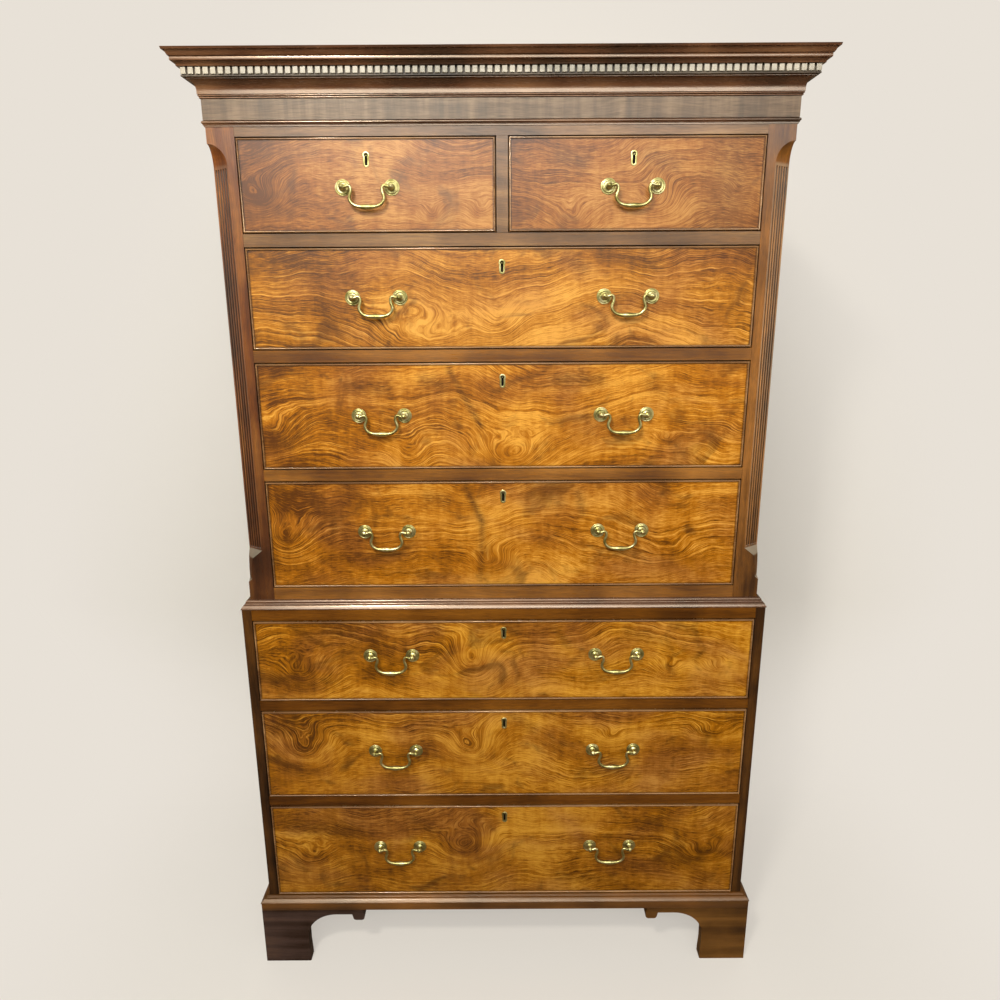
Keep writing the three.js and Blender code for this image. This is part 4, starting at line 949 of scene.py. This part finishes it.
def cock_bead(left, right, foot, top, face_y):
    """A strip with a round nose, 3 mm wide, mitred round the four edges of the front,
    its outer corner rubbed back by 1 mm."""
    nose = np.linspace(0, math.pi, 9)
    inset = np.concatenate([[1.0], 2.5 - 1.5 * np.cos(nose), [4]])
    y = face_y + np.concatenate([[plate], -0.9 - 1.7 * np.sin(nose), [plate]])
    corners = ((left, foot, 1, 1), (right, foot, -1, 1), (right, top, -1, -1), (left, top, 1, -1))
    return np.array([np.stack([x + sx * inset, y, z + sz * inset], axis=1) for x, z, sx, sz in corners])


bead_wood = polished_mahogany(
    "bead_mahogany", "#50321A", "#7A5632", "#A07A50", roughness=0.2, gloss=1.0, coat=0.5,
    streaks=0.5, shellac="#FFE4C4",
)
core_wood = bare_board("front_ground_pine", "#5A3C20", "#86603A")
# Each kind of drawer: the ends of its opening, its face, handles, keyhole and colours.
lower = (-500, 500, lower_front, (-226, 226), 0, ("#583204", "#A66606", "#DA9E34", "#4A2A08"))
upper = (-456, 456, upper_front, (-226, 226), 0, ("#5A3206", "#A86609", "#DA9E3E", "#4A2A0C"))
upper_pale = (*upper[:-1], ("#5A3406", "#A4660E", "#D49A42", "#4A2A0C"))
short_colours = ("#583212", "#905820", "#B88444", "#4E3422")
left_short = (-456, -9, upper_front, (-233,), -233, short_colours)
right_short = (11, 456, upper_front, (228,), 228, short_colours)
# Each row: name, kind, floor and ceiling of its opening, share of its height at which the
# handles sit, drop of the keyhole, seed, eyes and smudges. An eye is its place as shares
# of the front, its two spreads in millimetres and its hill; a smudge is two such places,
# its half width in millimetres and its strength.
drawers = [
    ("lower_drawer_3", lower, 165.3, 390.3, 0.542, 28.5, 31,
     [(0.09, 0.35, 80, 62, 62), (0.425, 0.52, 62, 52, 78), (0.93, 0.44, 55, 28, 36)],
     [(0.04, 0.8, 0.16, 0.72, 22, 0.6), (0.3, 0.9, 0.34, 0.75, 12, 0.4),
      (0.62, 0.2, 0.75, 0.1, 16, 0.4)]),
    ("lower_drawer_2", lower, 412.8, 615.8, 0.539, 29, 32,
     [(0.08, 0.5, 62, 55, 60), (0.43, 0.52, 60, 50, 80), (0.727, 0.7, 26, 18, 24),
      (0.93, 0.73, 42, 19, 27)],
     [(0.02, 0.8, 0.1, 0.85, 20, 0.45), (0.52, 0.95, 0.56, 0.8, 12, 0.4),
      (0.66, 0.25, 0.74, 0.3, 14, 0.4)]),
    ("lower_drawer_1", lower, 638.3, 815.3, 0.57, 26.7, 33,
     [(0.09, 0.3, 62, 48, 50), (0.437, 0.45, 52, 56, 76), (0.84, 0.38, 30, 22, 26),
      (0.935, 0.36, 46, 22, 28)],
     [(0.1, 0.85, 0.2, 0.9, 12, 0.4), (0.6, 0.92, 0.63, 0.7, 10, 0.55),
      (0.75, 0.85, 0.8, 0.8, 12, 0.4)]),
    ("upper_drawer_3", upper, 880.1, 1096.1, 0.533, 30, 34,
     [(0.03, 0.47, 50, 42, 50), (0.477, 0.18, 52, 36, 56), (0.87, 0.3, 60, 30, 26)],
     [(0.08, 0.97, 0.14, 0.6, 15, 0.6), (0.2, 0.82, 0.23, 0.8, 14, 0.4),
      (0.34, 0.86, 0.38, 0.84, 14, 0.55), (0.42, 0.97, 0.455, 0.62, 7, 1.0),
      (0.455, 0.62, 0.45, 0.05, 7, 0.7), (0.61, 0.9, 0.62, 0.8, 12, 0.6),
      (0.66, 0.9, 0.67, 0.7, 9, 0.6)]),
    ("upper_drawer_2", upper, 1118.6, 1319.6, 0.512, 33, 44,
     [(0.02, 0.32, 60, 45, 54), (0.51, 0.09, 70, 42, 70), (0.84, 0.25, 32, 15, 18),
      (0.3, 0.1, 42, 55, 36)],
     [(0.09, 0.95, 0.1, 0.7, 12, 0.45), (0.18, 0.8, 0.26, 0.78, 14, 0.6),
      (0.34, 0.85, 0.38, 0.8, 13, 0.6), (0.39, 0.95, 0.455, 0.4, 6, 0.85),
      (0.61, 0.85, 0.7, 0.85, 13, 0.7), (0.8, 0.8, 0.83, 0.75, 12, 0.4)]),
    ("upper_drawer_1", upper_pale, 1342.1, 1521.1, 0.516, 32.5, 36,
     [(0.37, 0.08, 90, 46, 58), (0.5, 0.2, 48, 48, 34)],
     [(0.63, 0.92, 0.66, 0.8, 12, 0.55), (0.78, 0.92, 0.8, 0.82, 11, 0.5),
      (0.05, 0.8, 0.2, 0.7, 25, 0.35)]),
    ("left_short_drawer", left_short, 1543.6, 1700.6, 0.478, 34.5, 37,
     [(0.08, 0.36, 44, 30, 52), (0.755, 0.16, 22, 16, 24), (0.94, 0.2, 22, 20, 22)],
     [(0.42, 0.13, 0.43, 0.12, 6, 0.9), (0.1, 0.85, 0.3, 0.9, 12, 0.35)]),
    ("right_short_drawer", right_short, 1543.6, 1700.6, 0.478, 34.5, 38,
     [(0.58, 0.3, 40, 32, 30), (0.25, 0.05, 60, 40, 34), (0.9, 0.42, 18, 12, 12)],
     [(0.2, 0.8, 0.28, 0.75, 16, 0.7), (0.55, 0.8, 0.65, 0.7, 18, 0.4),
      (0.86, 0.1, 0.9, 0.9, 55, 0.55)]),
]
side_gap, foot_gap, bead_width, post_half, pivot_out = 1.2, 0.6, 3.8, 42.5, 12.75
for name, kind, floor, ceiling, handle_share, key_drop, seed, eyes, smudges in drawers:
    left, right, face_y, handles, key_x, colours = kind
    left, right = left + side_gap, right - side_gap
    foot, top = floor + foot_gap, ceiling - side_gap
    handle_z = foot + (top - foot) * handle_share
    key_z = top - key_drop
    veneer = figured_veneer(f"{name}_veneer", *colours, seed=float(seed % 7))
    ends = (left + bead_width, right - bead_width, foot + bead_width, top - bead_width)
    face = veneered_face(*ends, face_y, key_x, key_z, seed, eyes, smudges)
    piece(f"{name}_face", face, veneer, name, [f"{name}_front"], smooth=False)
    core = joined_mesh(front_core(left, right, foot, top, face_y, key_x, key_z))
    piece(f"{name}_core", core, core_wood, name, smooth=False)
    bead = sheet_of(cock_bead(left, right, foot, top, face_y), wrap_rows=True, wrap_columns=True)
    piece(f"{name}_bead", bead, bead_wood, name, crease=50)
    finish_nodes(f"{name}_box", oak)

    lock = [key_x - 9.8, face_y + 13, key_z - 17.3, key_x + 9.8, face_y + 21.8, key_z + 17.3]
    lock = joined_mesh([solid_blocks([lock])])
    piece(f"{name}_lock", lock, lock_iron, name, smooth=False)
    pin = turned(pin_profile, key_x, face_y, key_z + pin_height, 12)
    pin = sheet_of(pin, wrap_columns=True, caps=True)
    piece(f"{name}_lock_pin", pin, aged_brass, name)
    liner = [
        np.insert(keyhole_line(grow) + (key_x, key_z), 1, face_y - out, axis=1)
        for grow, out in liner_section
    ]
    liner = sheet_of(np.array(liner), wrap_rows=True, wrap_columns=True)
    piece(f"{name}_keyhole_liner", liner, aged_brass, name)

    labels = ("left_", "right_") if len(handles) == 2 else ("",)
    for label, x in zip(labels, handles):
        for end_name, end in (("left", -post_half), ("right", post_half)):
            post = turned(rose_profile, x + end, face_y, handle_z)
            post = sheet_of(post, wrap_columns=True, caps=True)
            piece(f"{name}_{label}handle_{end_name}_post", post, aged_brass, name, crease=45)
        bail_name = f"{name}_{label}bail"
        bar = swan_neck_bail(x, face_y - pivot_out, handle_z)
        bar = sheet_of(bar, wrap_columns=True, caps=True)
        piece(f"{bail_name}_bar", bar, aged_brass, bail_name, [bail_name])
